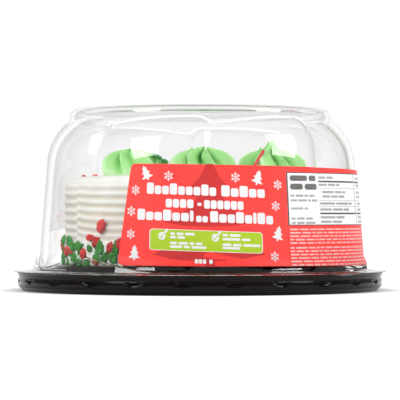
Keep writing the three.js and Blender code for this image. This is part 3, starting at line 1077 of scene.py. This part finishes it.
def print_fine_lines(finish):
    """Eleven pale lines under the table, in two blocks whose last lines are shorter."""
    draws = random.Random(5)
    fine = Print("print_fine_lines", 4)
    for row in range(FINE_ROWS):
        level = FINE_TOP - row * FINE_STEP - (BLOCK_STEP if row > BLOCK_ENDS[0] else 0)
        right = 88 if row in BLOCK_ENDS else 104
        low, high = level - FINE_HALF, level + FINE_HALF
        add_words(fine, 31.6, right, low, high, random_words(draws, 66), 0.55)
    fine.wrap_on(finish["pale_print"])


# ---------------- cake

GROOVES = [56.8, 53.1, 48.6, 44.2, 39.6, 35.0, 30.8, 27.0]  # heights of the comb's grooves, mm
GROOVE_DEPTHS = [0.3, 0.75, 0.9, 0.92, 0.92, 0.92, 0.9, 0.65]
GROOVE_HALF_WIDTH = 1.75
GROOVE_MOST = 1.2  # mm, the depth that a share of 1 stands for
GROOVES_FADE = (56, 59)  # mm, between which the grooves run out at the upper edge
LIFT_OFF = -63.5  # azimuth where the comb was lifted off and set on again
CLIMB = (1.5, 2.9)  # mm that the lines climb there, near the top and low on the side
CLIMB_GROWS = 28  # mm down the side over which it grows from one to the other
CLIMB_REACH = 18  # degrees in which most of it is gone
CLIMB_BEFORE = 0.7  # mm that the lines climb as they come round to it again
COMB_WAVER = 0.22  # mm


def wobble(azimuth, seed):
    """A slow wander round the cake, from about -1 to 1."""
    angle = math.radians(azimuth)
    slow = math.sin(2 * angle + seed)
    middle = 0.6 * math.sin(5 * angle + 2.3 * seed)
    quick = 0.4 * math.sin(9 * angle + seed * seed)
    return (slow + middle + quick) / 2


def comb_rise(azimuth, height):
    """Millimetres that the comb's lines stand over their usual height: most just past LIFT_OFF."""
    past = (azimuth - LIFT_OFF) % 360
    most = lerp(*CLIMB, smooth(0, CLIMB_GROWS, GROOVES_FADE[0] - height))
    rise = most * math.exp(-past / CLIMB_REACH) + CLIMB_BEFORE * smooth(200, 350, past)
    return rise + COMB_WAVER * wobble(azimuth, 1.0)


def groove_share(azimuth, height):
    """How deep in a groove a point lies: 0 on a ridge, 1 at a groove's bottom. height is in mm."""
    deepest = 0.0
    level = height - comb_rise(azimuth, height)
    half = GROOVE_HALF_WIDTH * (1 + 0.12 * wobble(azimuth * 2, height * 0.3))
    for groove, depth in zip(GROOVES, GROOVE_DEPTHS):
        off = abs(level - groove) / half
        if off < 1.6:
            deepest = max(deepest, depth / GROOVE_MOST * math.exp(-off * off * 1.5))
    return deepest


def combed(point):
    """Draws the comb's grooves into the cake's plain side and makes it a little uneven."""
    reach = reach_of(point)
    if reach < 1e-6:
        return point + Vector((CAKE_X, 0, 0))
    azimuth = azimuth_of(point)
    height = point.z / MM
    past = (azimuth - LIFT_OFF + 180) % 360 - 180 + 0.9 * math.sin(height * 1.4)
    behind = 1 - smooth(-2, 0, past)
    scar = 0.3 * math.exp(-((past / 1.3) ** 2)) + 0.4 * behind * smooth(-30, -6, past)
    uneven = 0.3 * wobble(azimuth + height, 4.0) + 0.12 * wobble(azimuth * 3, height * 0.07)
    groove = GROOVE_MOST * groove_share(azimuth, height) * (1 - smooth(*GROOVES_FADE, height))
    near_side = smooth(62 * MM, 71 * MM, reach)
    radius = reach + (uneven - groove - scar) * near_side * MM
    lift = 0.0
    if height > 58:
        lift = 0.1 * MM * wobble(azimuth + reach * 900, 2.0) * smooth(0, 20 * MM, reach)
    return around(radius, azimuth, point.z + lift, CAKE_X)


# The cake's rounded edge and its top, in to the middle: radius and height in mm.
CAKE_EDGE = (
    (74.15, 54.0), (74.1, 54.4), (74.0, 54.8), (73.85, 55.2), (73.65, 55.6), (73.45, 56.0),
    (73.2, 56.4), (72.9, 56.8), (72.6, 57.2), (72.25, 57.6), (71.9, 58.0), (71.4, 58.5),
    (70.8, 59.0), (69.9, 59.6), (68.6, 60.1), (66.6, 60.5), (63.8, 60.6), (60.0, 60.3),
    (50.0, 60.1), (40.0, 60.1), (26.0, 60.1), (10.0, 60.1),
)


def cake_profile():
    """The cake's foot, its side in close rows for the comb, and its rounded edge and top."""
    radius = CAKE_R / MM
    rows = [(radius - 1.2, 13.6), (radius - 0.3, 14.1)]
    height = 14.7
    while height < 53.6:
        rows.append((radius, height))
        height += 0.4
    return [(radius * MM, height * MM) for radius, height in (*rows, *CAKE_EDGE)]


def mark_grooves(cake):
    """Keeps each point's depth in the grooves on the mesh, for the icing's painted groove shade."""

    def depth_at(point):
        place = point - Vector((CAKE_X, 0, 0))
        height = place.z / MM
        if reach_of(place) <= 60 * MM:
            return 0.0
        return groove_share(azimuth_of(place), height) * (1 - smooth(*GROOVES_FADE, height))

    keep_on_points(cake, "groove_shade", depth_at)


def make_cake(material):
    cake = drawn_up("cake_icing", 360, cake_profile(), close="foot top")
    shape_by(cake, combed)
    mark_grooves(cake)
    faces_outwards(cake)
    smooth_faces(cake, 60)
    return done(cake, material, ["cake"])


# ---------------- sprinkles

LEAF_LONG = 6.4
LEAF_WIDE = 5.0
BERRY_LONG = 5.6
BERRY_WIDE = 4.6


def cast_sprinkle(name, outline, thickness, bumps):
    """One pressed sprinkle: its outline drawn in towards a raised, bumpy face, its length along Y."""
    deselect_all()
    bpy.ops.mesh.primitive_circle_add(vertices=len(outline), radius=1, fill_type="NGON")
    piece = settle(newly_made(name))
    for vertex, place in zip(piece.data.vertices, outline):
        vertex.co = (place[0], place[1], -thickness / 2)
    open_for_edit(piece, "SELECT")
    for height, share in ((0.35, 1.06), (0.35, 0.9), (0.2, 0.62)):
        bpy.ops.mesh.extrude_region_move(
            TRANSFORM_OT_translate={"value": (0, 0, thickness * height)}
        )
        bpy.ops.transform.resize(value=(share, share, 1), center_override=(0, 0, 0))
    bpy.ops.mesh.poke(offset=thickness * 0.08)
    bpy.ops.mesh.select_all(action="SELECT")
    bpy.ops.mesh.normals_make_consistent(inside=False)
    close_edit()
    for index, vertex in enumerate(piece.data.vertices):
        if vertex.co.z > 0:
            vertex.co.z += bumps * thickness * (0.2 if index % 2 else -0.2)
    return smooth_faces(piece)


def toothed(length, width, teeth, depth, beat, wider):
    """An outline in mm with rounded teeth of uneven depth. wider is how much broader it is at its
    upper end, as a share: below 0 it is narrower."""
    points = []
    for i in range(2 * teeth):
        angle = math.pi * i / teeth
        tooth = 1 + (depth + 0.04 * math.sin(beat * angle)) * math.cos(teeth * angle)
        across = width * MM / 2 * tooth * (1 + wider * math.cos(angle)) * math.sin(angle)
        points.append((across, length * MM / 2 * tooth * math.cos(angle)))
    return points


def cast_leaf(name):
    """A plump leaf, a little narrower at its tip."""
    outline = toothed(LEAF_LONG, LEAF_WIDE, 9, 0.09, 5, -0.26)
    return cast_sprinkle(name, outline, LEAF_THICK, 1.0)


def cast_berry(name):
    """A lumpy cluster, broad above and narrower below."""
    outline = toothed(BERRY_LONG, BERRY_WIDE, 7, 0.12, 3, 0.24)
    return cast_sprinkle(name, outline, BERRY_THICK, 1.2)


def laid_copy(pattern, matrix):
    """One copy of a sprinkle, with its own mesh, moved to its place."""
    copy = put_in_scene(pattern.name, pattern.data.copy())
    copy.data.transform(matrix)
    return copy


def on_side(azimuth, height, spin, tilt, proud, size, roll=0.0):
    """The place of a sprinkle on the cake's side. size is its scale across, along and through."""
    place = around(CAKE_R + proud, azimuth, height, CAKE_X)
    outward = around(1, azimuth, 0)
    sideways = Vector((-outward.y, outward.x, 0))
    basis = Matrix((sideways, Vector((0, 0, 1)), outward)).transposed().to_4x4()
    turn = turn_about("Y", roll) @ turn_about("X", tilt) @ turn_about("Z", spin)
    return Matrix.Translation(place) @ basis @ turn @ Matrix.Diagonal((*size, 1))


# The pieces of the foot band that show best: kind, azimuth, height, width and length in mm,
# and how far the piece is spun round.
SEEN = (
    ("red", -86.0, 23.5, 3.4, 4.8, 5), ("leaf", -77.4, 26.9, 3.6, 5.0, 12),
    ("leaf", -70.2, 26.4, 3.8, 5.4, -8), ("red", -73.9, 21.2, 3.4, 5.0, -15),
    ("leaf", -65.8, 23.9, 4.0, 5.6, 18), ("leaf", -59.1, 23.7, 4.9, 5.9, -14),
    ("leaf", -64.3, 17.9, 5.2, 5.0, 8), ("red", -55.6, 19.8, 5.3, 5.6, -28),
    ("red", -50.4, 28.4, 3.4, 6.6, 84), ("red", -47.1, 26.2, 3.4, 6.0, -32),
    ("leaf", -45.1, 23.4, 5.4, 7.2, 4), ("leaf", -51.2, 23.0, 3.0, 4.0, 30),
    ("leaf", -47.5, 17.6, 5.2, 6.0, 62), ("red", -47.6, 15.6, 2.4, 5.4, 82),
    ("leaf", -41.9, 18.7, 3.9, 6.8, -34), ("red", -39.2, 23.4, 3.6, 5.9, -16),
    ("leaf", -36.3, 22.6, 3.4, 5.4, 10), ("red", -34.4, 25.4, 3.4, 5.8, -10),
    ("leaf", -37.8, 18.0, 5.3, 5.9, 20), ("leaf", -58.6, 15.4, 3.9, 4.4, 50),
    ("leaf", -52.6, 15.7, 4.0, 4.4, -46), ("red", -68.4, 21.4, 2.6, 3.6, 40),
    ("red", -44.2, 34.4, 5.9, 6.9, -12),
)
SEEN_FROM = -92
SEEN_TO = -32
TIERS = (17.4, 21.4, 25.2)  # heights in mm
IN_TIER = 40
RED_SHARE = 0.36

# Loose pieces higher up on the cake's side, as above.
STRAYS = (
    ("red", 72, 37, 4.6, 5.6, 20), ("red", 163, 33, 4.6, 5.6, -30),
    ("red", -128, 36, 4.6, 5.6, 60),
)

# Bits that lie on the cake's top: azimuth, how far in from the side in mm, kind.
TOP_BITS = (
    (-68, 6.5, "red"), (-57, 8, "red"), (75, 8, "green"), (110, 7, "red"), (150, 9, "red"),
    (-120, 7, "green"), (-160, 8, "red"),
)
TOP_BIT_Z = CAKE_TOP_Z + 0.7 * MM
TOP_BIT_SCALE = 0.36
LEAF_THICK = 1.7 * MM
BERRY_THICK = 2.2 * MM


def foot_band(draws):
    """Three tiers all round. Where SEEN sets pieces one by one, these are smaller and sunk in."""
    pieces = []
    for tier, height in enumerate(TIERS):
        for i in range(IN_TIER):
            azimuth = (i + 0.5 * (tier % 2) + draws.uniform(-0.3, 0.3)) * 360 / IN_TIER - 180
            level = height + draws.uniform(-1.3, 1.3)
            red = draws.random() < RED_SHARE
            wide = draws.uniform(3.4, 5.4)
            long = draws.uniform(4.8, 6.6)
            spin = draws.uniform(-90, 90)
            kind = "red" if red else "leaf"
            scale = 1.1
            if SEEN_FROM < azimuth < SEEN_TO:
                kind = "under"
                level -= 1
                scale = 0.8
            pieces.append((kind, azimuth, level, wide * scale, long * scale, spin))
    return pieces


def make_sprinkles(finish):
    """The foot band, the loose pieces and the bits on top, joined to one piece for each colour."""
    draws = random.Random(21)
    leaf = cast_leaf("leaf_pattern")
    berry = cast_berry("berry_pattern")
    reds = []
    greens = []

    def lay(red, matrix):
        (reds if red else greens).append(laid_copy(berry if red else leaf, matrix))

    for kind, azimuth, height, wide, long, spin in (*SEEN, *foot_band(draws), *STRAYS):
        red = kind == "red"
        across, along = (BERRY_WIDE, BERRY_LONG) if red else (LEAF_WIDE, LEAF_LONG)
        proud = -0.4 if kind == "under" else draws.uniform(0.5, 1.4)
        tilt = draws.uniform(-16, 16)
        roll = draws.uniform(-16, 16)
        size = (wide / across, long / along, 1.0)
        lay(red, on_side(azimuth, height * MM, spin, tilt, proud * MM, size, roll))
    for azimuth, inward, kind in TOP_BITS:
        place = around(CAKE_R - inward * MM, azimuth, TOP_BIT_Z, CAKE_X)
        spin = Matrix.Rotation(draws.uniform(0, 6), 4, "Z")
        lay(kind == "red", Matrix.Translation(place) @ spin @ Matrix.Scale(TOP_BIT_SCALE, 4))
    for pattern in (leaf, berry):
        bpy.data.objects.remove(pattern)
    green = join_all("sprinkles_green", greens)
    red = join_all("sprinkles_red", reds)
    done(green, finish["sprinkle_green"], ["cake"])
    done(red, finish["sprinkle_red"], ["cake"])


# ---------------- rosettes

BUN_ROWS = 34
DEEPEST_FOLD = 0.42  # inset that has the darkest painted shade
FOLD_TURN = 28  # degrees that the folds lean round on their way up
FOLD_LIFT = 6.0 * MM  # how far a valley's upper end lies under the crests
TIP_REACH = 0.17  # share of the bun's radius that the tip's foot takes
FOLD_STRENGTH = (0.5, 1.2)  # at a rosette's foot, and high on it
ROSETTE_WANDER = 0.02  # share of its radius that it is uneven by
BESIDE = (0.24, 0.07)  # how deep the sides fall off a thin crest, and how soon
HOLLOW = 0.2  # how deep the whole way between two crests is
CREASE = (0.56, 0.15)  # depth and width of the narrow valley


def bun_profile():
    """A bun of radius 1 and height 1, drawn in a little at its foot."""
    rows = []
    for i in range(BUN_ROWS):
        level = math.sin(math.radians(89.0 * i / (BUN_ROWS - 1)))
        foot = lerp(0.94, 1.0, smooth(0, 0.16, level))
        rows.append((foot * (1 - level**3.7) ** 0.5, level))
    return rows


# A fold is the azimuth of its crest, where the valley after it lies on the way to the next crest,
# and how deep that valley is.


def even_folds(*crests):
    return [(crest, 0.4, 0.34) for crest in crests]


def rear_folds(*crests):
    valleys = (0.5, 0.35, 0.4, 0.4, 0.35, 0.4, 0.4)
    return [(crest, valley, 0.36) for crest, valley in zip(crests, valleys)]


# Each rosette: name, size, height and lean of its tip in mm, its small pulled-up peaks (x, y, height
# and radius in mm, about its middle) and its folds.
ROSETTE_PLAN = (
    ("rosette_front", 0.98, 0.6, 1.0, ((-5.6, -2.0, 1.5, 0.6), (-3.0, -1.0, 0.9, 0.5)), (
        (-82, 0.84, 0.3), (-27, 0.47, 0.46), (19, 0.2, 0.34), (80, 0.4, 0.3),
        *even_folds(125, 180, 226),
    )),
    ("rosette_front_right", 1.04, 5.8, -0.2, ((-6.4, -1.5, 3.0, 0.8),), (
        (-82, 0.5, 0.3), (-22, 0.7, 0.34), (22, 0.25, 0.3), (74, 0.4, 0.22),
        *even_folds(120, 165, 215),
    )),
    ("rosette_back_right", 1.0, 1.0, 0.5, ((2, 3, 1.1, 0.8),),
        rear_folds(-70, -20, 35, 88, 140, 190, 240)),
    ("rosette_back", 0.98, 1.6, 0.4, ((-3, 1, 1.0, 0.8),),
        rear_folds(-60, -8, 47, 99, 152, 200, 250)),
    ("rosette_back_left", 1.0, 1.2, -0.8, ((1, -3, 1.0, 0.8),),
        rear_folds(-82, -32, 20, 75, 128, 182, 230)),
    ("rosette_front_left", 0.95, 0.4, -1.0, ((-1.0, -2.0, 0.8, 0.8),), (
        (-78, 0.72, 0.34), (-18, 0.3, 0.26), *even_folds(40, 95, 140, 200),
    )),
)


def fold_inset(folds, azimuth):
    """How far the swirl is drawn in: nothing at a thin crest, a little beside it, most in the
    narrow valley after it."""
    count = len(folds)
    for i, (crest, valley, depth) in enumerate(folds):
        after = folds[(i + 1) % count][0] + (360 if i == count - 1 else 0)
        turn = (azimuth - crest) % 360
        width = (after - crest) % 360
        if turn < width:
            share = (turn / width) ** (math.log(0.5) / math.log(valley))
            beside = BESIDE[0] * (1 - math.exp(-min(share, 1 - share) / BESIDE[1]))
            crease = CREASE[0] * math.exp(-(((share - 0.5) / CREASE[1]) ** 2))
            return depth * (beside + HOLLOW * math.sin(math.pi * share) + crease)
    return 0.0


def mark_folds(rosette, folds):
    """Keeps on the mesh how deep in a valley each point of the plain bun will lie, for the icing's
    painted shade and highlight.
    """

    def depth_at(place):
        reach = reach_of(place)
        azimuth = azimuth_of(place) if reach > 1e-6 else 0.0
        depth = fold_inset(folds, azimuth) / DEEPEST_FOLD
        return depth * smooth(0.0, 0.6, place.z) * smooth(0.0, 0.2, reach)

    keep_on_points(rosette, "fold", depth_at)


def piped(size, tip, lean, peaks, folds, azimuth_on_cake):
    """The move that turns a plain bun into a piped swirl at its place on the cake."""
    radius = ROSETTE_R * size
    centre = around(ROSETTE_RING_R, azimuth_on_cake, ROSETTE_FOOT_Z, CAKE_X)

    def move(point):
        reach = reach_of(point)
        level = point.z
        azimuth = azimuth_of(point) if reach > 1e-6 else 0.0
        inset = fold_inset(folds, azimuth)
        strength = lerp(*FOLD_STRENGTH, smooth(0.0, 0.7, level))
        wander = 1 + ROSETTE_WANDER * wobble(azimuth, 3.0 + azimuth_on_cake)
        out = reach * radius * (1 - inset * strength) * wander
        height = level * ROSETTE_HEIGHT + tip * MM * math.exp(-((reach / TIP_REACH) ** 2))
        height -= inset * FOLD_LIFT * smooth(0.4, 0.95, level) * smooth(0.02, 0.3, reach)
        moved = around(out, azimuth - FOLD_TURN * (level - 0.5), height)
        moved.x += lean * MM * level**4
        for x, y, rise, wide in peaks:
            near = ((moved.x - x * MM) ** 2 + (moved.y - y * MM) ** 2) / (wide * MM) ** 2
            moved.z += rise * MM * math.exp(-near) * smooth(0.6, 0.8, level)
        return moved + centre

    return move


def make_rosette(azimuth, name, size, tip, lean, peaks, folds, material):
    rosette = drawn_up(name + "_swirl", 360, bun_profile(), close="foot top")
    mark_folds(rosette, folds)
    shape_by(rosette, piped(size, tip, lean, peaks, folds, azimuth))
    faces_outwards(rosette)
    smooth_faces(rosette)
    return done(rosette, material, [name])


def make_red_rod(material):
    """The short sugar rod that leans on the front right rosette, bent a little at its middle."""
    ends = [Vector((33.2, -33.4, 73.9)), Vector((30.6, -36.4, 69.4)), Vector((28.0, -38.0, 65.4))]
    start = ends[0] * MM
    deselect_all()
    bpy.ops.mesh.primitive_circle_add(vertices=12, radius=0.85 * MM, fill_type="NGON")
    rod = settle(newly_made("rosette_red_rod"))
    aim = (ends[1] - ends[0]).to_track_quat("Z", "Y").to_matrix().to_4x4()
    rod.data.transform(Matrix.Translation(start) @ aim)
    open_for_edit(rod, "SELECT")
    steps = 5
    for first, last in zip(ends, ends[1:]):
        for _ in range(steps):
            move = (last - first) * MM / steps
            bpy.ops.mesh.extrude_region_move(TRANSFORM_OT_translate={"value": move})
    close_edit()
    for vertex in rod.data.vertices:
        vertex.co *= 1 + 0.0008 * math.sin(vertex.co.z * 9000)
    faces_outwards(rod)
    bevel = rod.modifiers.new("ends", "BEVEL")
    bevel.width = 0.35 * MM
    bevel.segments = 3
    bevel.limit_method = "ANGLE"
    bevel.angle_limit = math.radians(50)
    apply_modifiers(rod)
    smooth_faces(rod)
    return done(rod, material, ["rosette_front_right"])


# Each leaf: its place in mm, scale, spin and tilt.
ROSETTE_LEAVES = (
    (-23.6, -25.4, 71.6, 0.66, 70, 45), (-21.2, -27.0, 69.9, 0.5, 110, 60),
    (-18.6, -24.0, 68.2, 0.62, 60, 65),
)


def make_rosette_leaves(material):
    """The green leaves that lie on the front left rosette."""
    leaves = []
    for x, y, z, scale, spin, tilt in ROSETTE_LEAVES:
        leaf = cast_leaf("leaf")
        turn = turn_about("Z", spin * 0.3) @ turn_about("X", tilt)
        place = Matrix.Translation(Vector((x, y, z)) * MM)
        leaf.data.transform(place @ turn @ turn_about("Z", spin) @ Matrix.Scale(scale, 4))
        leaves.append(leaf)
    joined = join_all("rosette_leaves", leaves)
    return done(joined, material, ["rosette_front_left"])


def make_rosettes(finish):
    icing = piped_icing()
    for index, plan in enumerate(ROSETTE_PLAN):
        make_rosette(index * 60, *plan, icing)
    make_red_rod(finish["sprinkle_red"])
    make_rosette_leaves(finish["sprinkle_green"])


# ---------------- studio

FLOOR_GLOW = (92.5 * MM, 125 * MM, 0.05, 1.1)  # two distances, and the glow before and past them: the glow falls off towards the tray, so the darker band round the tray's foot is partly painted shadow and partly the lamps' own shadow
FLOOR_GLOW_MIRRORED = 0.58  # share of the floor's glow that the pack mirrors
BACKDROP = 1.02
BACKDROP_HALF_ANGLE = 36
BACKDROP_SOFT_EDGE = 0.03
ROOM = 0.22
OVERHEAD = 0.4  # what is seen straight through the dome high over the backdrop
OVERHEAD_SINES = (0.3, 0.6)  # of the elevations between which the backdrop dims to that
SOFTBOX_LIFT = 32
SOFTBOX_FAR = 1.5
SOFTBOX_WIDE = 0.6
SOFTBOX_TALL = 1.02
SOFTBOX_POWER = 10.2
SOFTBOX_ROLL = 20
SOFTBOX_AIM = (0, 0, 0.07)
EYE = (0, -1.291, 0.041)
LOOK_AT = (0, 0, 0.0482)


def make_floor():
    """A pale floor that glows little near the tray and white further out: the missing glow near the
    tray paints part of the soft shadow round its foot.
    """
    deselect_all()
    bpy.ops.mesh.primitive_plane_add(size=12, location=(0, 0, 0))
    floor = settle(newly_made("studio_floor"))
    material, nodes, shader = new_material("studio_white")
    away = nodes.make("VectorMath", {0: nodes.place()}, operation="LENGTH")["Value"]
    # painted shadow: the glow falls off near the tray, which darkens the floor round its foot
    glow = nodes.spread(away, *FLOOR_GLOW)
    mirrored = nodes.spread(nodes.path("Glossy Depth"), 0, 1, 1, FLOOR_GLOW_MIRRORED)
    nodes.feed(shader, {
        "Base Color": (0.85, 0.85, 0.85, 1),
        "Roughness": 0.9,
        "Specular IOR Level": 0.0,
        "Emission Color": (1, 1, 1, 1),
        "Emission Strength": nodes.maths("MULTIPLY", glow, mirrored),
    })
    floor.data.materials.append(material)


def make_world():
    """A white backdrop to look at, also through the clear dome, dimmer overhead. What the pack
    mirrors and is lit by is a white screen behind it and a dim room round it."""
    world = bpy.data.worlds.new("studio")
    bpy.context.scene.world = world
    world.use_nodes = True
    nodes = Nodes(world.node_tree)
    axes = nodes.make("SeparateXYZ", {0: nodes.make("TexCoord")["Generated"]})
    edge = math.cos(math.radians(BACKDROP_HALF_ANGLE))
    ends = (edge - BACKDROP_SOFT_EDGE, edge + BACKDROP_SOFT_EDGE, ROOM, BACKDROP)
    mirrored = nodes.spread(axes["Y"], *ends)
    seen = nodes.spread(axes["Z"], *OVERHEAD_SINES, BACKDROP, OVERHEAD)
    bounced = nodes.maths("MAXIMUM", nodes.path("Glossy Depth"), nodes.path("Diffuse Depth"))
    strength = nodes.make("Mix", {0: bounced, 2: seen, 3: mirrored})[0]
    light = world.node_tree.nodes["Background"]
    nodes.feed(light, {"Color": (1, 1, 1, 1), "Strength": strength})


def set_up(name, data, place, target, roll=0):
    """Puts a lamp or camera in its place, looking at a point and rolled about that line."""
    made = put_in_scene(name, data)
    made.location = place
    aim = Vector(target) - Vector(place)
    turn = aim.to_track_quat("-Z", "Y").to_matrix().to_4x4() @ turn_about("Z", roll)
    made.rotation_euler = turn.to_euler()
    return made


def make_softbox(name, azimuth):
    """A soft box in front and above, rolled a little."""
    light = bpy.data.lights.new(name, "AREA")
    light.shape = "RECTANGLE"
    light.size = SOFTBOX_WIDE
    light.size_y = SOFTBOX_TALL
    light.energy = SOFTBOX_POWER
    lift = math.radians(SOFTBOX_LIFT)
    height = SOFTBOX_AIM[2] + SOFTBOX_FAR * math.sin(lift)
    place = around(SOFTBOX_FAR * math.cos(lift), azimuth, height)
    set_up(name, light, place, SOFTBOX_AIM, math.copysign(SOFTBOX_ROLL, -azimuth))


def set_camera():
    camera = bpy.data.cameras.new("camera")
    camera.lens = 216.8
    camera.sensor_width = 36
    camera.clip_start = 0.05
    bpy.context.scene.camera = set_up("camera", camera, EYE, LOOK_AT)
    bpy.context.scene.view_settings.view_transform = "Standard"


# ---------------- finishes

PRINT_ROUGH = (0.4, 0.46)
LABEL_SHINE = 0.25

# The inks: their two tones and the scale at which they wander.
INKS = {
    "deep_red_print": ((0.52, 0.03, 0.03), (0.58, 0.036, 0.036), 30),
    "white_print": ((0.74, 0.74, 0.75), (0.79, 0.79, 0.8), 30),
    "pale_print": ((0.9, 0.42, 0.4), (0.92, 0.5, 0.48), 60),
    "green_print": ((0.36, 0.53, 0.024), (0.4, 0.58, 0.028), 30),
    "table_white": ((0.82, 0.83, 0.86), (0.86, 0.87, 0.9), 30),
    "table_rule": ((0.07, 0.06, 0.055), (0.1, 0.09, 0.08), 60),
    "table_head": ((0.14, 0.13, 0.12), (0.18, 0.17, 0.16), 60),
    "table_grey": ((0.36, 0.35, 0.34), (0.42, 0.41, 0.4), 60),
}

# Everything else that is mottled: two tones, scale, roughness, shine, and depth and scale of grain.
SURFACES = {
    "black_gloss": ((0.0035, 0.0026, 0.0022), (0.006, 0.0045, 0.004), 60, (0.1, 0.16), 0.15),
    "red_label": ((0.97, 0.053, 0.046), (0.99, 0.06, 0.052), 25, (0.38, 0.46), LABEL_SHINE),
    "sprinkle_green": (
        (0.035, 0.25, 0.035), (0.075, 0.37, 0.065), 400, (0.55, 0.7), 0.3, (0.7 * MM, 1100)
    ),
    "sprinkle_red": (
        (0.66, 0.05, 0.048), (0.86, 0.1, 0.09), 400, (0.55, 0.7), 0.3, (0.7 * MM, 1000)
    ),
}


def finishes():
    """The mottled finishes by their names."""
    made = {name: mottled(name, *ink, PRINT_ROUGH, LABEL_SHINE) for name, ink in INKS.items()}
    for name, surface in SURFACES.items():
        made[name] = mottled(name, *surface)
    return made


set_camera()
make_floor()
make_world()
make_softbox("softbox_left", -51)
make_softbox("softbox_right", 67)
finish = finishes()
make_tray(finish["black_gloss"])
make_cake(combed_icing())
make_sprinkles(finish)
make_rosettes(finish)
make_label(finish["red_label"])
print_front(finish)
print_field(finish)
print_table(finish)
print_fine_lines(finish)
make_dome(clear_plastic())
